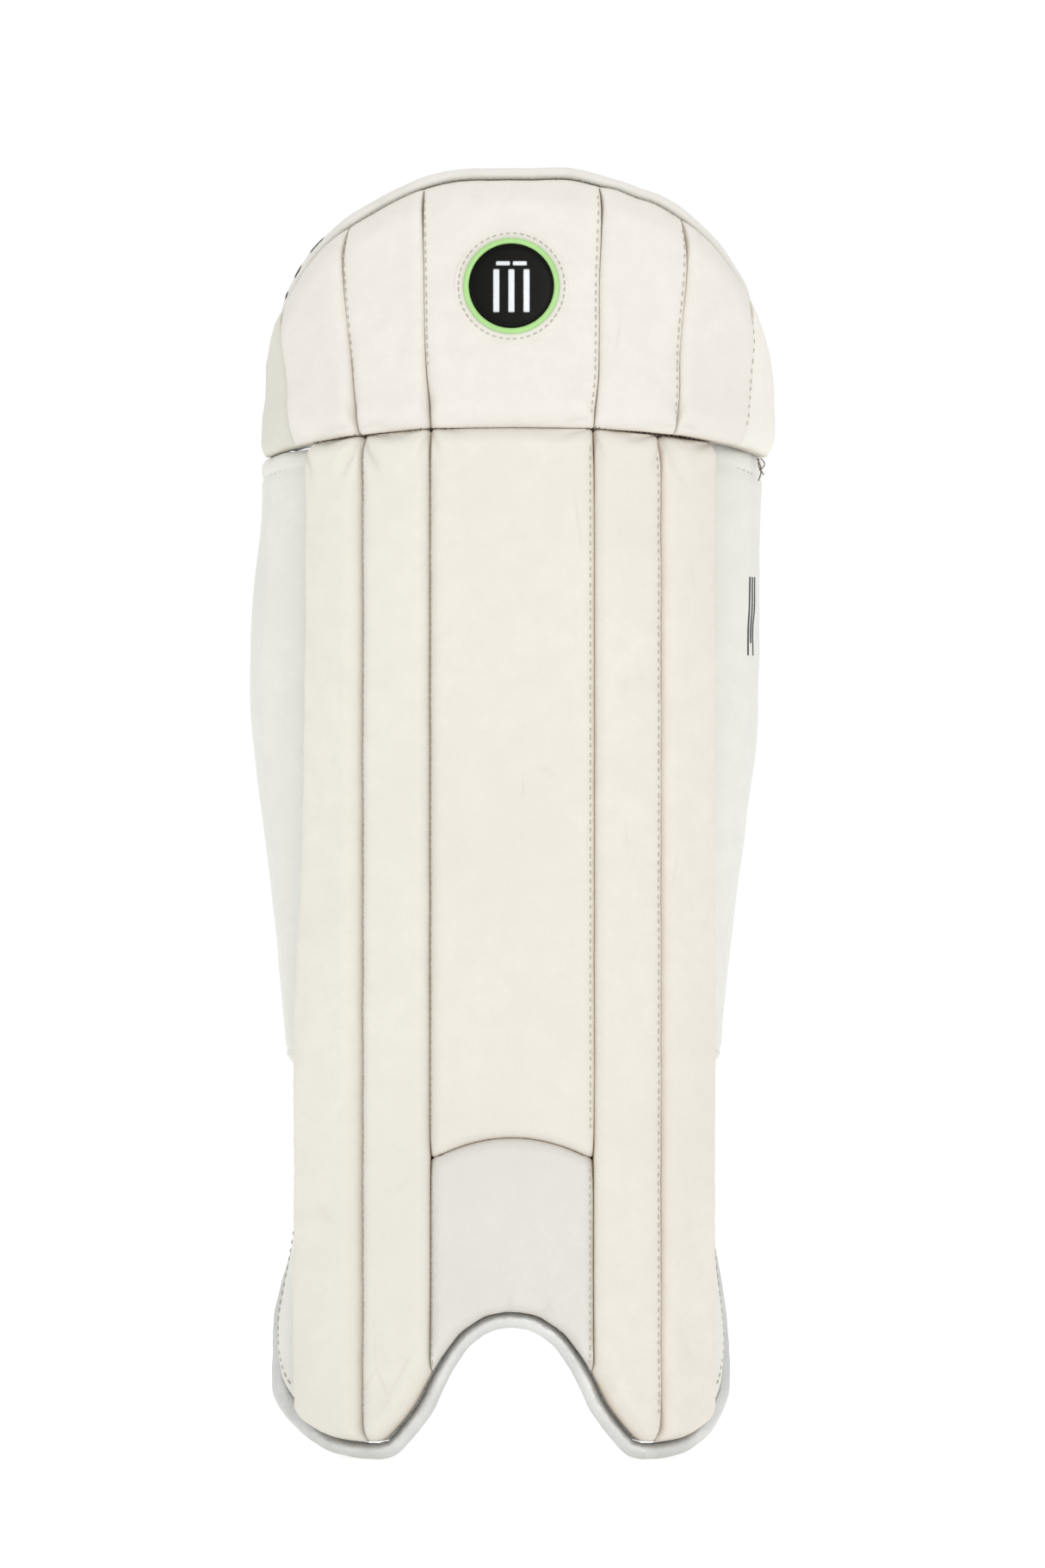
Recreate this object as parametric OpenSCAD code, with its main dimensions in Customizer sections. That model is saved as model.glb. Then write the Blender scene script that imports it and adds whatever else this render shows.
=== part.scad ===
/* [Shin] */
// Overall height from the lobes to the top binding
pad_h = 618.5; // [618.5]
// Half width of the centre shin panel
seam_1 = 39; // [36:0.5:41]
// Half width at the seam between the inner and the outer roll
seam_2 = 69; // [67:0.5:71]
// Half width at the outer edge of the outer roll's base
seam_3 = 91; // [90:0.5:92]
// How proud the shin rolls stand of the backing
roll_h = 14; // [13:0.5:16]
// How far the foot of the pad kicks forward
kick_y = 10; // [0:1:12]
// Diameter of one cane rod
cane_d = 5; // [4:0.5:5]

/* [Knee flap] */
// How proud the centre and inner flap panels stand
flap_h = 13; // [11:0.5:14]
// Backward lean of the flap in degrees
flap_lean = 4; // [0:0.5:5]
// Outer diameter of the round badge
badge_d = 46; // [38:1:50]

/* [Wings] */
// Padded thickness of a side wing
wing_t = 11; // [9:0.5:12]
// Depth of the wing, from its hinge to its rear face
wing_r = 95; // [93:1:96]
// Thickness of an ankle wing
ankle_t = 6; // [5:0.5:7]

/* [Trim and straps] */
// Diameter of the silver edge piping
piping_d = 8; // [7:0.5:8]
// Diameter of the white top binding
binding_d = 5.6; // [4.6:0.2:5.8]
// Width of the two calf straps
strap_w = 38; // [32:1:40]
// Width of the ankle strap
ankle_strap_w = 30; // [25:1:30]
// Thickness of the strap webbing
strap_t = 2.2; // [1.8:0.1:2.4]
// Thickness of the leather cloth in every cover
cover_t = 1.2; // [1:0.1:1.4]

/* [Hidden] */

y_mid = 65.135;       // moves the depth so that the object box is centred on Y = 0
z_drop = 0.87;       // lowers the lobes onto Z = 0
ang_1 = 20;            // turn of the inner roll in plan
ang_2 = 41;            // turn of the outer roll in plan
y_2 = (seam_2 - seam_1) * tan(ang_1);
y_3 = y_2 + (seam_3 - seam_2) * tan(ang_2);
foot = 0.3;            // clearance under a cover
side = 0.25;           // clearance beside a cover
hinge = [93.2, 31.5];  // wing hinge in plan, right side

white = [0.94, 0.925, 0.90];
cream = [0.93, 0.905, 0.865];
wing_c = [0.925, 0.92, 0.88];
instep_c = [0.90, 0.89, 0.86];
silver = [0.74, 0.74, 0.72];
mesh_c = [0.86, 0.86, 0.84];
foam_c = [0.95, 0.89, 0.70];
cane_c = [0.80, 0.66, 0.42];
lime = [0.66, 0.88, 0.52];
black = [0.04, 0.04, 0.04];

function mix(a, b, t) = a + (b - a) * t;
function unit(v) = v / max(norm(v), 1e-9);
function sgn(v) = v < 0 ? -1 : 1;

// lower outline of one lobe in the front view, from the centre of the instep arch outwards
LOBE = [[0, 63.5], [10, 61.8], [20, 55.4], [28, 45], [33.5, 35], [38.5, 24.6], [46, 14.4],
        [55, 4.5], [61, 1.6], [67, 0.6], [75, 0.9], [82, 2.2], [88, 4.8], [95, 10], [99.6, 14.4]];
function out_n(i) = let (a = LOBE[max(i - 1, 0)], b = LOBE[min(i + 1, len(LOBE) - 1)], t = i == 0 ? [1, 0] : unit(b - a)) [-t[1], t[0]];
function lobe_off(d) = [for (i = [0 : len(LOBE) - 1]) LOBE[i] + d * out_n(i)];
LOW = lobe_off(piping_d + 0.6);
function z_low(x) = lookup(abs(x), LOW);
function z_seam(x) = lookup(abs(x), [[0, 493.5], [39, 493.2], [73, 490], [104, 485.5], [121, 481]]);
function z_arc(x) = 155 - 10 * pow(x / seam_1, 2);
function z_top(x) = lookup(abs(x), [[0, 612.5], [25, 612], [35, 610], [43, 607.6], [50, 604.5], [59, 600.4], [65, 597.3], [73, 593], [80.5, 588], [88, 581.5], [97, 571], [104, 559.3], [107.7, 551.5], [110, 543], [113.5, 531]]);
function kick(z) = z < 120 ? -kick_y * pow((120 - z) / 120, 2) : z > 493 ? (z - 493) * tan(flap_lean) : 0;

// panels: x of the left and right seams at the bottom and at the top, and the plan depth at each
//            xLb      xRb      xLt      xRt     yL    yR
PAN = [[-seam_1, seam_1, -seam_1, seam_1, 0, 0],            // 0 shin centre
       [seam_1, seam_2, seam_1, seam_2, 0, y_2],            // 1 shin inner
       [seam_2, seam_3, seam_2, seam_3, y_2, y_3],          // 2 shin outer
       [-seam_1, seam_1, -seam_1, seam_1, 0, 0],            // 3 instep
       [-39, 39, -41, 41, 0, 0],                            // 4 flap centre
       [39, 69.5, 41, 78, 0, 11],                           // 5 flap inner
       [69.5, 99, 78, 107, 11, 36.5],                       // 6 flap mid
       [99, 115.5, 107, 113.5, 36.5, 68]];                    // 7 flap edge
function p_zb(k, x) = k == 0 ? z_arc(x) + 0.5 : k <= 3 ? z_low(x) : z_seam(x) + 0.6;
function p_zt(k, x) = k == 3 ? z_arc(x) - 0.5 : k <= 2 ? z_seam(x) - 0.6 : z_top(x);
// point of panel k: du mm in from the left (u side 0) or right seam, dw mm in from the bottom or top
function p_at(k, u, db, dt, w) = let (p = PAN[k], xb = mix(p[0], p[1], u), xt = mix(p[2], p[3], u),
    zb = p_zb(k, xb) + db, zt = p_zt(k, xt) - dt, x = mix(xb, xt, w), z = mix(zb, zt, w))
  [x, mix(p[4], p[5], u) + kick(z), z];
function p_n(k) = let (p = PAN[k], t = unit([p[1] - p[0], p[5] - p[4]])) [t[1], -t[0], 0];
function p_w(k) = let (p = PAN[k]) norm([p[1] - p[0], p[5] - p[4]]);

// edge profile of a stuffed panel: inset in mm and share of the full height
ED = [0, 0.5, 2.4, 7];
EF = [0, 0.6, 0.9, 1];
// rows between the two ends of a panel, as shares of the way up
function rows(k) = k == 0 ? [0.5] : k == 1 || k == 2 ? [0.08, 0.16, 0.6] : k == 3 ? [0.5] : [0.5];
// grid of points on panel k; inset a, height drop g, rim index i0
function grid(k, h, a, g, i0, flat = -1) = let (w = p_w(k), n = p_n(k), r = rows(k),
    cu = [for (i = [i0 : 3]) side + ED[i] + (i < 3 ? a : a * 0.5)],
    um = k == 3 || k == 0 ? [0.26, 0.34, 0.42, 0.5, 0.58, 0.66, 0.74] : k == 4 ? [0.36, 0.64] : [],
    us = concat([for (c = cu) c / w], um, [for (i = [len(cu) - 1 : -1 : 0]) 1 - cu[i] / w]),
    fs = concat([for (i = [i0 : 3]) i], [for (c = um) 3], [for (i = [3 : -1 : i0]) i]),
    rb = [for (i = [i0 : 3]) [side + ED[i] + (i < 3 ? a : a * 0.5), 0, 0, i]],
    rm = [for (q = r) [side + 7 + a * 0.5, side + 7 + a * 0.5, q, 3]],
    rt = [for (i = [3 : -1 : i0]) [0, side + ED[i] + (i < 3 ? a : a * 0.5), 1, i]],
    rw = concat(rb, rm, rt))
  [for (q = rw) [for (c = [0 : len(us) - 1]) let (f = min(EF[fs[c]], EF[q[3]]), drop = g * (min(fs[c], q[3]) == 0 ? 0 : min(fs[c], q[3]) == 1 ? 0.5 : 1),
      hh = flat >= 0 ? flat : foot + max(0, f * (h - foot) - drop))
    p_at(k, us[c], q[0], q[1], q[2]) + n * hh]];

// closed solid between two grids of points, A outside and B inside
module slab(A, B) {
  m = len(A); n = len(A[0]); o = m * n;
  polyhedron(concat([for (r = A) for (p = r) p], [for (r = B) for (p = r) p]), concat(
    [for (i = [0 : m - 2]) for (j = [0 : n - 2]) each let (a = i * n + j, b = a + n) [[a, b, b + 1], [a, b + 1, a + 1]]],
    [for (i = [0 : m - 2]) for (j = [0 : n - 2]) each let (a = o + i * n + j, b = a + n) [[a, b + 1, b], [a, a + 1, b + 1]]],
    [for (i = [0 : m - 2]) each let (a = i * n, b = a + n) [[o + a, o + b, b], [o + a, b, a]]],
    [for (i = [0 : m - 2]) each let (a = i * n + n - 1, b = a + n) [[a, b, o + b], [a, o + b, o + a]]],
    [for (j = [0 : n - 2]) each [[j, j + 1, o + j + 1], [j, o + j + 1, o + j]]],
    [for (j = [0 : n - 2]) each let (a = (m - 1) * n + j) [[a + 1, a, o + a], [a + 1, o + a, o + a + 1]]]), convexity = 8);
}
// leather cloth cover of panel k, an open tray over its stuffing
module cover(k, h) { slab(grid(k, h, 0, 0, 0), grid(k, h, cover_t, cover_t, 0)); }
// foam stuffing of panel k; it starts under_h above the backing to leave room for canes
module core(k, h, under_h) { slab(grid(k, h, cover_t + 0.5, cover_t + 0.5, 1), grid(k, h, cover_t + 0.5, 0, 1, under_h)); }
module place() { translate([0, -y_mid, -z_drop]) children(); }
module left() { mirror([1, 0, 0]) children(); }

// ---- sheets that follow the folded plan: seam points, and mitre vectors at the seams
function sx(b, w) = b == 0 ? [0, seam_1, seam_2, seam_3] : [0, mix(39, 41, w), mix(69.5, 78, w), mix(99, 107, w), mix(115.5, 113.5, w)];
function sy(b) = b == 0 ? [0, 0, y_2, y_3] : [0, 0, 11, 36.5, 68];
function sn(b) = b == 0 ? [p_n(0), p_n(1), p_n(2)] : [p_n(4), p_n(5), p_n(6), p_n(7)];
function mitre(b, i) = let (q = sn(b), n1 = q[max(i - 1, 0)], n2 = q[min(i, len(q) - 1)]) (n1 + n2) / (1 + n1 * n2);
function sheet_pt(b, c, w, d, e = 0) = let (a = abs(c), i = min(floor(a), len(sy(b)) - 2), f = a - i, xs = sx(b, w), ys = sy(b),
    xb = mix(sx(b, 0)[i], sx(b, 0)[i + 1], f), xt = mix(sx(b, 1)[i], sx(b, 1)[i + 1], f),
    zb = b == 0 ? z_low(xb) + e : z_seam(xb) + 0.8 + e, zt = b == 0 ? z_seam(xt) - 0.8 - e : z_top(xt) - e,
    z = mix(zb, zt, w), v = mix(mitre(b, i), mitre(b, i + 1), f), x = mix(xs[i], xs[i + 1], f))
  [sgn(c) * (x + v[0] * d), mix(ys[i], ys[i + 1], f) + kick(z) + v[1] * d, z];
function sheet_grid(b, cs, ws, d, e) = [for (w = ws) [for (c = cs) sheet_pt(b, c, w, d, e)]];
module sheet(b, cs, ws, d1, d2, e) { slab(sheet_grid(b, cs, ws, d1, e), sheet_grid(b, cs, ws, d2, e)); }
half_s = [0.22, 0.42, 0.62, 0.8, 1, 1.2, 1.4, 1.6, 1.8, 2, 2.3, 2.6, 2.98];
SC = concat([for (i = [len(half_s) - 1 : -1 : 0]) -half_s[i]], [0], half_s);
SW = [0, 0.06, 0.12, 0.18, 0.25, 1];
half_f = [0.5, 1, 1.5, 2, 2.5, 3, 3.5, 3.97];
FC = concat([for (i = [len(half_f) - 1 : -1 : 0]) -half_f[i]], [0], half_f);
FW = [0, 1];

// ---- side wing: outer face in plan, from the hinge to the curled rear end
function bulge(z) = lookup(z, [[184, 101], [196, 101.6], [217, 103.5], [237, 106.2], [258, 108.3], [279, 110.7], [299, 113.8],
   [320, 116.4], [340, 118.7], [363, 120.7], [390, 121], [414, 120.6], [445, 119.2], [470, 119], [482, 120]]);
function arc_y(x, r = wing_r) = hinge[1] + sqrt(r * r - pow(x - hinge[0], 2));
function w_ctl(b) = [[94.5, 34.5], [mix(94.5, b, 0.42), 45], [mix(94.5, b, 0.76), 58], [b - 1.5, 74], [b, 91], [b - 1.2, 107],
   [b - 5, 118], [b - 11, arc_y(b - 11)], [b - 22, arc_y(b - 22)], [b - 33, arc_y(b - 33)]];
function w_pt(b, s) = let (q = w_ctl(b), i = min(floor(max(s, 0)), 8)) mix(q[i], q[i + 1], s - i);
function w_n(b, s) = let (t = unit(w_pt(b, min(s + 0.5, 9)) - w_pt(b, max(s - 0.5, 0)))) [t[1], -t[0], 0];
WS = [0, 0.06, 0.25, 0.7, 1.5, 3, 4, 5, 6, 6.5, 7, 7.6, 8.35, 8.78, 8.94, 9];
WF = [0, 1, 2, 3, 3, 3, 3, 3, 3, 3, 3, 3, 3, 2, 1, 0];
WR = [0.12, 0.3, 0.5, 0.7, 0.88];
function w_zb(s) = 186 + (s > 5 ? 24 * pow((s - 5) / 4, 2) : 0);
function w_zt(s) = 479.3 - (s > 5.5 ? 18 * pow((s - 5.5) / 3.5, 2) : 0);
// height is measured out from the lining side; flat gives a plain sheet at that height
function w_grid(a, g, i0, flat = -99) = let (
    cs = [for (c = [i0 : len(WS) - 1 - i0]) c],
    rw = concat([for (i = [i0 : 3]) [ED[i] + a * (i < 3 ? 1 : 0.5), 0, 0, i]], [for (q = WR) [7 + a, 7 + a, q, 3]],
                [for (i = [3 : -1 : i0]) [0, ED[i] + a * (i < 3 ? 1 : 0.5), 1, i]]))
  [for (q = rw) [for (c = cs) let (s0 = WS[c], s = s0 < 1 ? s0 + a / 16 : s0 > 8 ? s0 - a / 11 : s0,
      z = mix(w_zb(s) + q[0], w_zt(s) - q[1], q[2]), b = bulge(z), m = min(WF[c], q[3]), n = w_n(b, s),
      hh = flat > -99 ? flat : foot + max(0, EF[m] * (wing_t - 1.2 - foot) - g * (m == 0 ? 0 : m == 1 ? 0.5 : 1)),
      p = w_pt(b, s) - [n[0], n[1]] * (wing_t - 1.2))
    [p[0] + n[0] * hh, p[1] + n[1] * hh, z]]];

// ---- ankle wing: outer face in plan at height z, and how far along it the edge lies
function flare(z) = lookup(z, [[10, 5.5], [50, 5], [70, 3.8], [88, 1.8], [106, 0.4], [125, 0]]);
function a_ctl(z) = let (f = flare(z)) [[93, 32.5], [96.6 + f, 45], [98 + 1.2 * f, 58], [97.3 + f, 70], [91, 80], [80, 84]];
function a_pt(z, s) = let (q = a_ctl(z), i = min(floor(s), 4)) mix(q[i], q[i + 1], s - i);
function a_n(z, s) = let (t = unit(a_pt(z, min(s + 0.4, 5)) - a_pt(z, max(s - 0.4, 0)))) [t[1], -t[0]];
function a_end(z) = lookup(z, [[21, 0.25], [28, 0.75], [37, 1.3], [50, 1.85], [65, 2.25], [86, 2.65], [106, 3.05], [120, 3.7], [131, 4.4], [140, 4.85], [177, 4.85]]);
AZ = [21, 28, 37, 50, 65, 86, 106, 120, 131, 140, 177];
function a_kick(z) = kick(z);
function a_grid(d) = [for (z = AZ) [for (i = [0 : 6]) let (s = a_end(z) * i / 6, n = a_n(z, s), p = a_pt(z, s) - n * d) [p[0], p[1] + a_kick(z), z]]];
function a_edge(z) = let (s = a_end(z), p = a_pt(z, s) - a_n(z, s) * ankle_t / 2) [p[0], p[1] + a_kick(z), z];
function a_out(z) = let (t = unit(a_edge(min(z + 3, 177)) - a_edge(max(z - 3, 21))), s = a_end(z), v = a_pt(z, s) - a_pt(z, max(s - 0.2, 0)),
    q = [v[0], v[1], 0], o = q - (q * t) * t) unit(o);
// centre line of the silver piping, right half, from the arch to the top of the ankle wing
ARCH = lobe_off(piping_d / 2);
function piping_half() = concat(
  [for (i = [0 : 12]) let (p = ARCH[i]) [p[0], lookup(p[0], [[0, 0], [seam_1, 0], [seam_2, y_2], [seam_3, y_3]]) + 3.4 + kick(p[1]), p[1]]],
  [[92.8, 34.2 + kick(14), 14.2]],
  [for (z = [24, 32, 42, 54, 68, 82, 95, 106, 114, 121, 127, 132, 137, 142, 152, 164, 176]) a_edge(z) + a_out(z) * (piping_d / 2 + 0.45)]);
function mirror_x(p) = [-p[0], p[1], p[2]];
module sweep(path, r, n = 8) {
  m = len(path);
  ring = [for (i = [0 : m - 1]) let (t = unit(path[min(i + 1, m - 1)] - path[max(i - 1, 0)]), s = unit(cross(t, [0, 1, 0])), u = cross(s, t))
    [for (j = [0 : n - 1]) path[i] + r * (cos(j * 360 / n + 22.5) * s + sin(j * 360 / n + 22.5) * u)]];
  polyhedron([for (q = ring) for (p = q) p], concat(
    [for (i = [0 : m - 2]) for (j = [0 : n - 1]) each let (a = i * n + j, b = i * n + (j + 1) % n) [[a, a + n, b + n], [a, b + n, b]]],
    [[for (j = [0 : n - 1]) j]], [[for (j = [n - 1 : -1 : 0]) (m - 1) * n + j]]), convexity = 10);
}

// ---- flat pieces with exact faces
function arc_line(r, x0, x1, n = 8) = [for (i = [0 : n]) let (x = mix(x0, x1, i / n)) [x, arc_y(x, r)]];
function rev(v) = [for (i = [len(v) - 1 : -1 : 0]) v[i]];
module band(z, w, pts) { translate([0, 0, z - w / 2]) linear_extrude(w) polygon(pts); }
module arc_band(z, w, r0, r1, x0, x1) { band(z, w, concat(arc_line(r0, x0, x1), rev(arc_line(r1, x0, x1)))); }
function bulge_line(x0, x1, y, h, t, n = 18) = let (xm = (x0 + x1) / 2, L = abs(x1 - x0) / 2)
  [for (i = [0 : n]) let (x = mix(x0, x1, i / n)) [x, y + t + h * (1 - pow((x - xm) / L, 2))]];
module strap_band(z, w, x0, x1, y, h) { band(z, w, concat(bulge_line(x0, x1, y, h, 0), rev(bulge_line(x0, x1, y, h, strap_t)))); }
module rounded(w, h, r) { polygon([for (q = [[1, 1, 0], [-1, 1, 90], [-1, -1, 180], [1, -1, 270]]) for (a = [0 : 15 : 90])
  [q[0] * (w / 2 - r) + r * cos(q[2] + a), q[1] * (h / 2 - r) + r * sin(q[2] + a)]]); }
module d_roll(w, t) { polygon([for (a = [0 : 12 : 180]) [w / 2 * sgn(cos(a)) * pow(abs(cos(a)), 0.7), t * pow(sin(a), 0.7)]]); }

up_z = 400; lo_z = 262; an_z = 159;     // strap heights
up_r = 94; lo_r = 83;                   // x of the strap roots
st_y = 128.6;                           // inner face of a calf strap at its ends
an_y = 86.4;                            // inner face of the ankle strap at its ends

module shin_cover_centre() { color(cream) place() cover(0, roll_h); }
module shin_cover_inner_right() { color(cream) place() cover(1, roll_h); }
module shin_cover_inner_left() { color(cream) place() left() cover(1, roll_h); }
module shin_cover_outer_right() { color(cream) place() cover(2, roll_h); }
module shin_cover_outer_left() { color(cream) place() left() cover(2, roll_h); }
module instep_cover() { color(instep_c) place() cover(3, roll_h - 2); }
module shin_core_centre() { color(foam_c) place() core(0, roll_h, 6.2); }
module shin_core_inner_right() { color(foam_c) place() core(1, roll_h, 6.2); }
module shin_core_inner_left() { color(foam_c) place() left() core(1, roll_h, 6.2); }
module shin_core_outer_right() { color(foam_c) place() core(2, roll_h, 6.2); }
module shin_core_outer_left() { color(foam_c) place() left() core(2, roll_h, 6.2); }
module instep_core() { color(foam_c) place() core(3, roll_h - 2, 0.6); }
module cane(x, y, n) { translate([x + n[0] * 3.2, y + n[1] * 3.2, 170]) cylinder(d = cane_d, h = 305, $fn = 24); }
module cane_rods() {
  color(cane_c) place() {
    for (i = [-2.5 : 1 : 2.5]) cane(i * 12, 0, p_n(0));
    for (u = [0.3, 0.7]) {
      cane(mix(seam_1, seam_2, u), mix(0, y_2, u), p_n(1));
      left() cane(mix(seam_1, seam_2, u), mix(0, y_2, u), p_n(1));
      cane(mix(seam_2, seam_3, u), mix(y_2, y_3, u), p_n(2));
      left() cane(mix(seam_2, seam_3, u), mix(y_2, y_3, u), p_n(2));
    }
  }
}
module backing_board() { color(mesh_c) place() sheet(0, SC, SW, -0.3, -2.3, 0); }
module shin_lining() { color(mesh_c) place() sheet(0, SC, SW, -2.6, -8.6, 0); }
module leg_rest_pad() { color(mesh_c) place() translate([0, 18, 322]) rotate([90, 0, 0]) linear_extrude(9) rounded(70, 300, 14); }
module bolster() {
  n = p_n(1); u = 0.5;
  translate([mix(seam_1, seam_2, u) - n[0] * 9, mix(0, y_2, u) - n[1] * 9, 172]) rotate([0, 0, ang_1]) linear_extrude(300) d_roll(23, 11);
}
module leg_bolster_right() { color(mesh_c) place() bolster(); }
module leg_bolster_left() { color(mesh_c) place() left() bolster(); }
module edge_piping() {
  h = piping_half();
  color(silver) place() sweep(concat([for (i = [len(h) - 1 : -1 : 1]) mirror_x(h[i])], h), piping_d / 2);
}
module ankle_sheet(d1, d2) { slab(a_grid(d1), a_grid(d2)); }
module ankle_wing_cover_right() { color(wing_c) place() ankle_sheet(0, 1.4); }
module ankle_wing_cover_left() { color(wing_c) place() left() ankle_sheet(0, 1.4); }
module ankle_wing_foam() { color(foam_c) place() { ankle_sheet(1.7, ankle_t - 1.5); left() ankle_sheet(1.7, ankle_t - 1.5); } }
module ankle_wing_lining() { color(mesh_c) place() { ankle_sheet(ankle_t - 1.2, ankle_t); left() ankle_sheet(ankle_t - 1.2, ankle_t); } }

// points along the rear facing end of the ankle wing, o mm off its face
function ank(t, o) = let (a = [91, 80], b = [80, 84], v = unit(b - a)) mix(a, b, t) + [v[1], -v[0]] * o;
module ankle_loop_patch() { color(mesh_c) place() left() band(an_z, ankle_strap_w - 4, [ank(0.05, 0.35), ank(0.8, 0.35), ank(0.8, 1.15), ank(0.05, 1.15)]); }
module ankle_strap_anchor() { color(white) place() band(an_z, ankle_strap_w, [ank(0, 0.35), ank(0.55, 0.35), ank(0.55, 3), ank(0, 3)]); }
module ankle_strap() { color(white) place() strap_band(an_z, ankle_strap_w, 84, -79.5, an_y, 15); }
module ankle_strap_tip() { color(white) place() left() {
  band(an_z, ankle_strap_w, [[80.1, an_y], ank(0.7, 2.4), ank(0, 2.4), ank(-0.1, 3.4), ank(0, 4.6), [80.1, an_y + strap_t]]);
  band(an_z, ankle_strap_w - 6, [ank(0.06, 1.55), ank(0.7, 1.55), ank(0.7, 2.45), ank(0.06, 2.45)]); } }

module flap_cover_centre() { color(white) place() cover(4, flap_h); }
module flap_cover_inner_right() { color(white) place() cover(5, flap_h); }
module flap_cover_inner_left() { color(white) place() left() cover(5, flap_h); }
module flap_cover_mid_right() { color(white) place() cover(6, flap_h); }
module flap_cover_mid_left() { color(white) place() left() cover(6, flap_h); }
module flap_cover_edge_right() { color(white) place() cover(7, flap_h - 4); }
module flap_cover_edge_left() { color(white) place() left() cover(7, flap_h - 4); }
module flap_core_centre() { color(foam_c) place() core(4, flap_h, 0.6); }
module flap_cores_right() { color(foam_c) place() { core(5, flap_h, 0.6); core(6, flap_h, 0.6); core(7, flap_h - 4, 0.6); } }
module flap_cores_left() { color(foam_c) place() left() { core(5, flap_h, 0.6); core(6, flap_h, 0.6); core(7, flap_h - 4, 0.6); } }
module flap_board() { color(mesh_c) place() sheet(1, FC, FW, -0.75, -2.0, 0.6); }
module flap_lining() { color(mesh_c) place() sheet(1, FC, FW, -2.3, -6.3, 1); }
module knee_cushion() { color(mesh_c) place() translate([0, 6.6 + (548 - 493) * tan(flap_lean), 548]) rotate([-90 - flap_lean, 0, 0]) linear_extrude(12) rounded(72, 84, 16); }
BT = [[0, 0], [41, 0], [78, 11], [107, 36.5], [113.5, 68]];
BZ = [[0, 3.1], [50, 3.4], [70, 3.7], [80, 4.2], [90, 4.7], [100, 5.2], [106, 5.2], [108, 4.2], [113.5, 4]];
function bind_half() = concat(
  [for (x = [0, 10, 20, 30, 41, 50, 60, 69, 78, 84, 91, 97, 103, 107, 110]) let (z = z_top(x) + lookup(x, BZ)) [x, lookup(x, BT) + 1.4 + kick(z), z]],
  [[113.8, 66.3 + kick(536), 535.6], [116.2, 71.9 + kick(530), 528], [117, 71.9 + kick(512), 510], [117.5, 71.7 + kick(494), 494], [117.7, 71.5, 485.2]]);
module top_binding() {
  h = bind_half();
  color(white) place() sweep(concat([for (i = [len(h) - 1 : -1 : 1]) mirror_x(h[i])], h), binding_d / 2);
}
module on_flap(z, lift) { translate([0, -flap_h + kick(z) - lift, z]) rotate([90 - flap_lean, 0, 0]) children(); }
badge_z = 561;
module badge_patch() { color(white) place() on_flap(badge_z, 0.05) cylinder(d = badge_d + 9, h = 0.8, $fn = 64); }
module badge_rim() { color(lime) place() on_flap(badge_z, 0.9) difference() { cylinder(d = badge_d, h = 2.4, $fn = 64); translate([0, 0, -1]) cylinder(d = badge_d - 5, h = 5, $fn = 64); } }
module badge_face() { color(black) place() on_flap(badge_z, 0.9) cylinder(d = badge_d - 5.2, h = 1.9, $fn = 64); }
module badge_emblem() {
  color([0.92, 0.93, 0.93]) place() on_flap(badge_z, 2.85) {
    for (i = [-1, 0, 1]) translate([i * 7.2, -2.5, 0.45]) cube([3.2, 21, 0.9], center = true);
    for (i = [-1, 1]) translate([i * 4.0, 10.6, 0.45]) cube([7, 2.4, 0.9], center = true);
  }
}

module wing_cover() { slab(w_grid(0, 0, 0), w_grid(cover_t, cover_t, 0)); }
module wing_foam() { slab(w_grid(cover_t + 0.5, cover_t + 0.5, 1), w_grid(cover_t + 0.5, 0, 1, 0.6)); }
module wing_lining() { slab(w_grid(0, 0, 0, 0), w_grid(0, 0, 0, -1.2)); }
module wing_cover_right() { color(wing_c) place() wing_cover(); }
module wing_cover_left() { color(wing_c) place() left() wing_cover(); }
module wing_foam_right() { color(foam_c) place() wing_foam(); }
module wing_foam_left() { color(foam_c) place() left() wing_foam(); }
module wing_lining_right() { color(mesh_c) place() wing_lining(); }
module wing_lining_left() { color(mesh_c) place() left() wing_lining(); }
module wing_hinge_seams() { color(wing_c) place() for (i = [-1, 1]) translate([i * hinge[0], hinge[1], 187]) cylinder(d = 4.4, h = 291, $fn = 32); }
module calf_loop_patches() { color(mesh_c) place() left() {
  arc_band(up_z, strap_w - 4, wing_r + 0.35, wing_r + 1.15, 89, 108);
  arc_band(lo_z, strap_w - 4, wing_r + 0.35, wing_r + 1.15, 79, 95); } }
module calf_strap_anchors() { color(white) place() {
  arc_band(up_z, strap_w, wing_r + 0.35, wing_r + 3.2, up_r + 0.8, up_r + 13);
  arc_band(lo_z, strap_w, wing_r + 0.35, wing_r + 3.2, lo_r + 0.8, lo_r + 12); } }
module calf_strap(z, xr, xt) { strap_band(z, strap_w, xr - 0.3, -xt + 0.3, st_y, 15); }
module calf_tip(z, xt, xe) { left() {
  arc_band(z, strap_w, wing_r + 2.5, wing_r + 2.5 + strap_t, xt + 0.3, xe);
  arc_band(z, strap_w - 6, wing_r + 1.6, wing_r + 2.52, xt + 3, xe - 2); } }
module upper_calf_strap() { color(white) place() calf_strap(up_z, up_r, 86); }
module upper_strap_tip() { color(white) place() calf_tip(up_z, 86, 111); }
module lower_calf_strap() { color(white) place() calf_strap(lo_z, lo_r, 76); }
module lower_strap_tip() { color(white) place() calf_tip(lo_z, 76, 98); }

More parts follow.
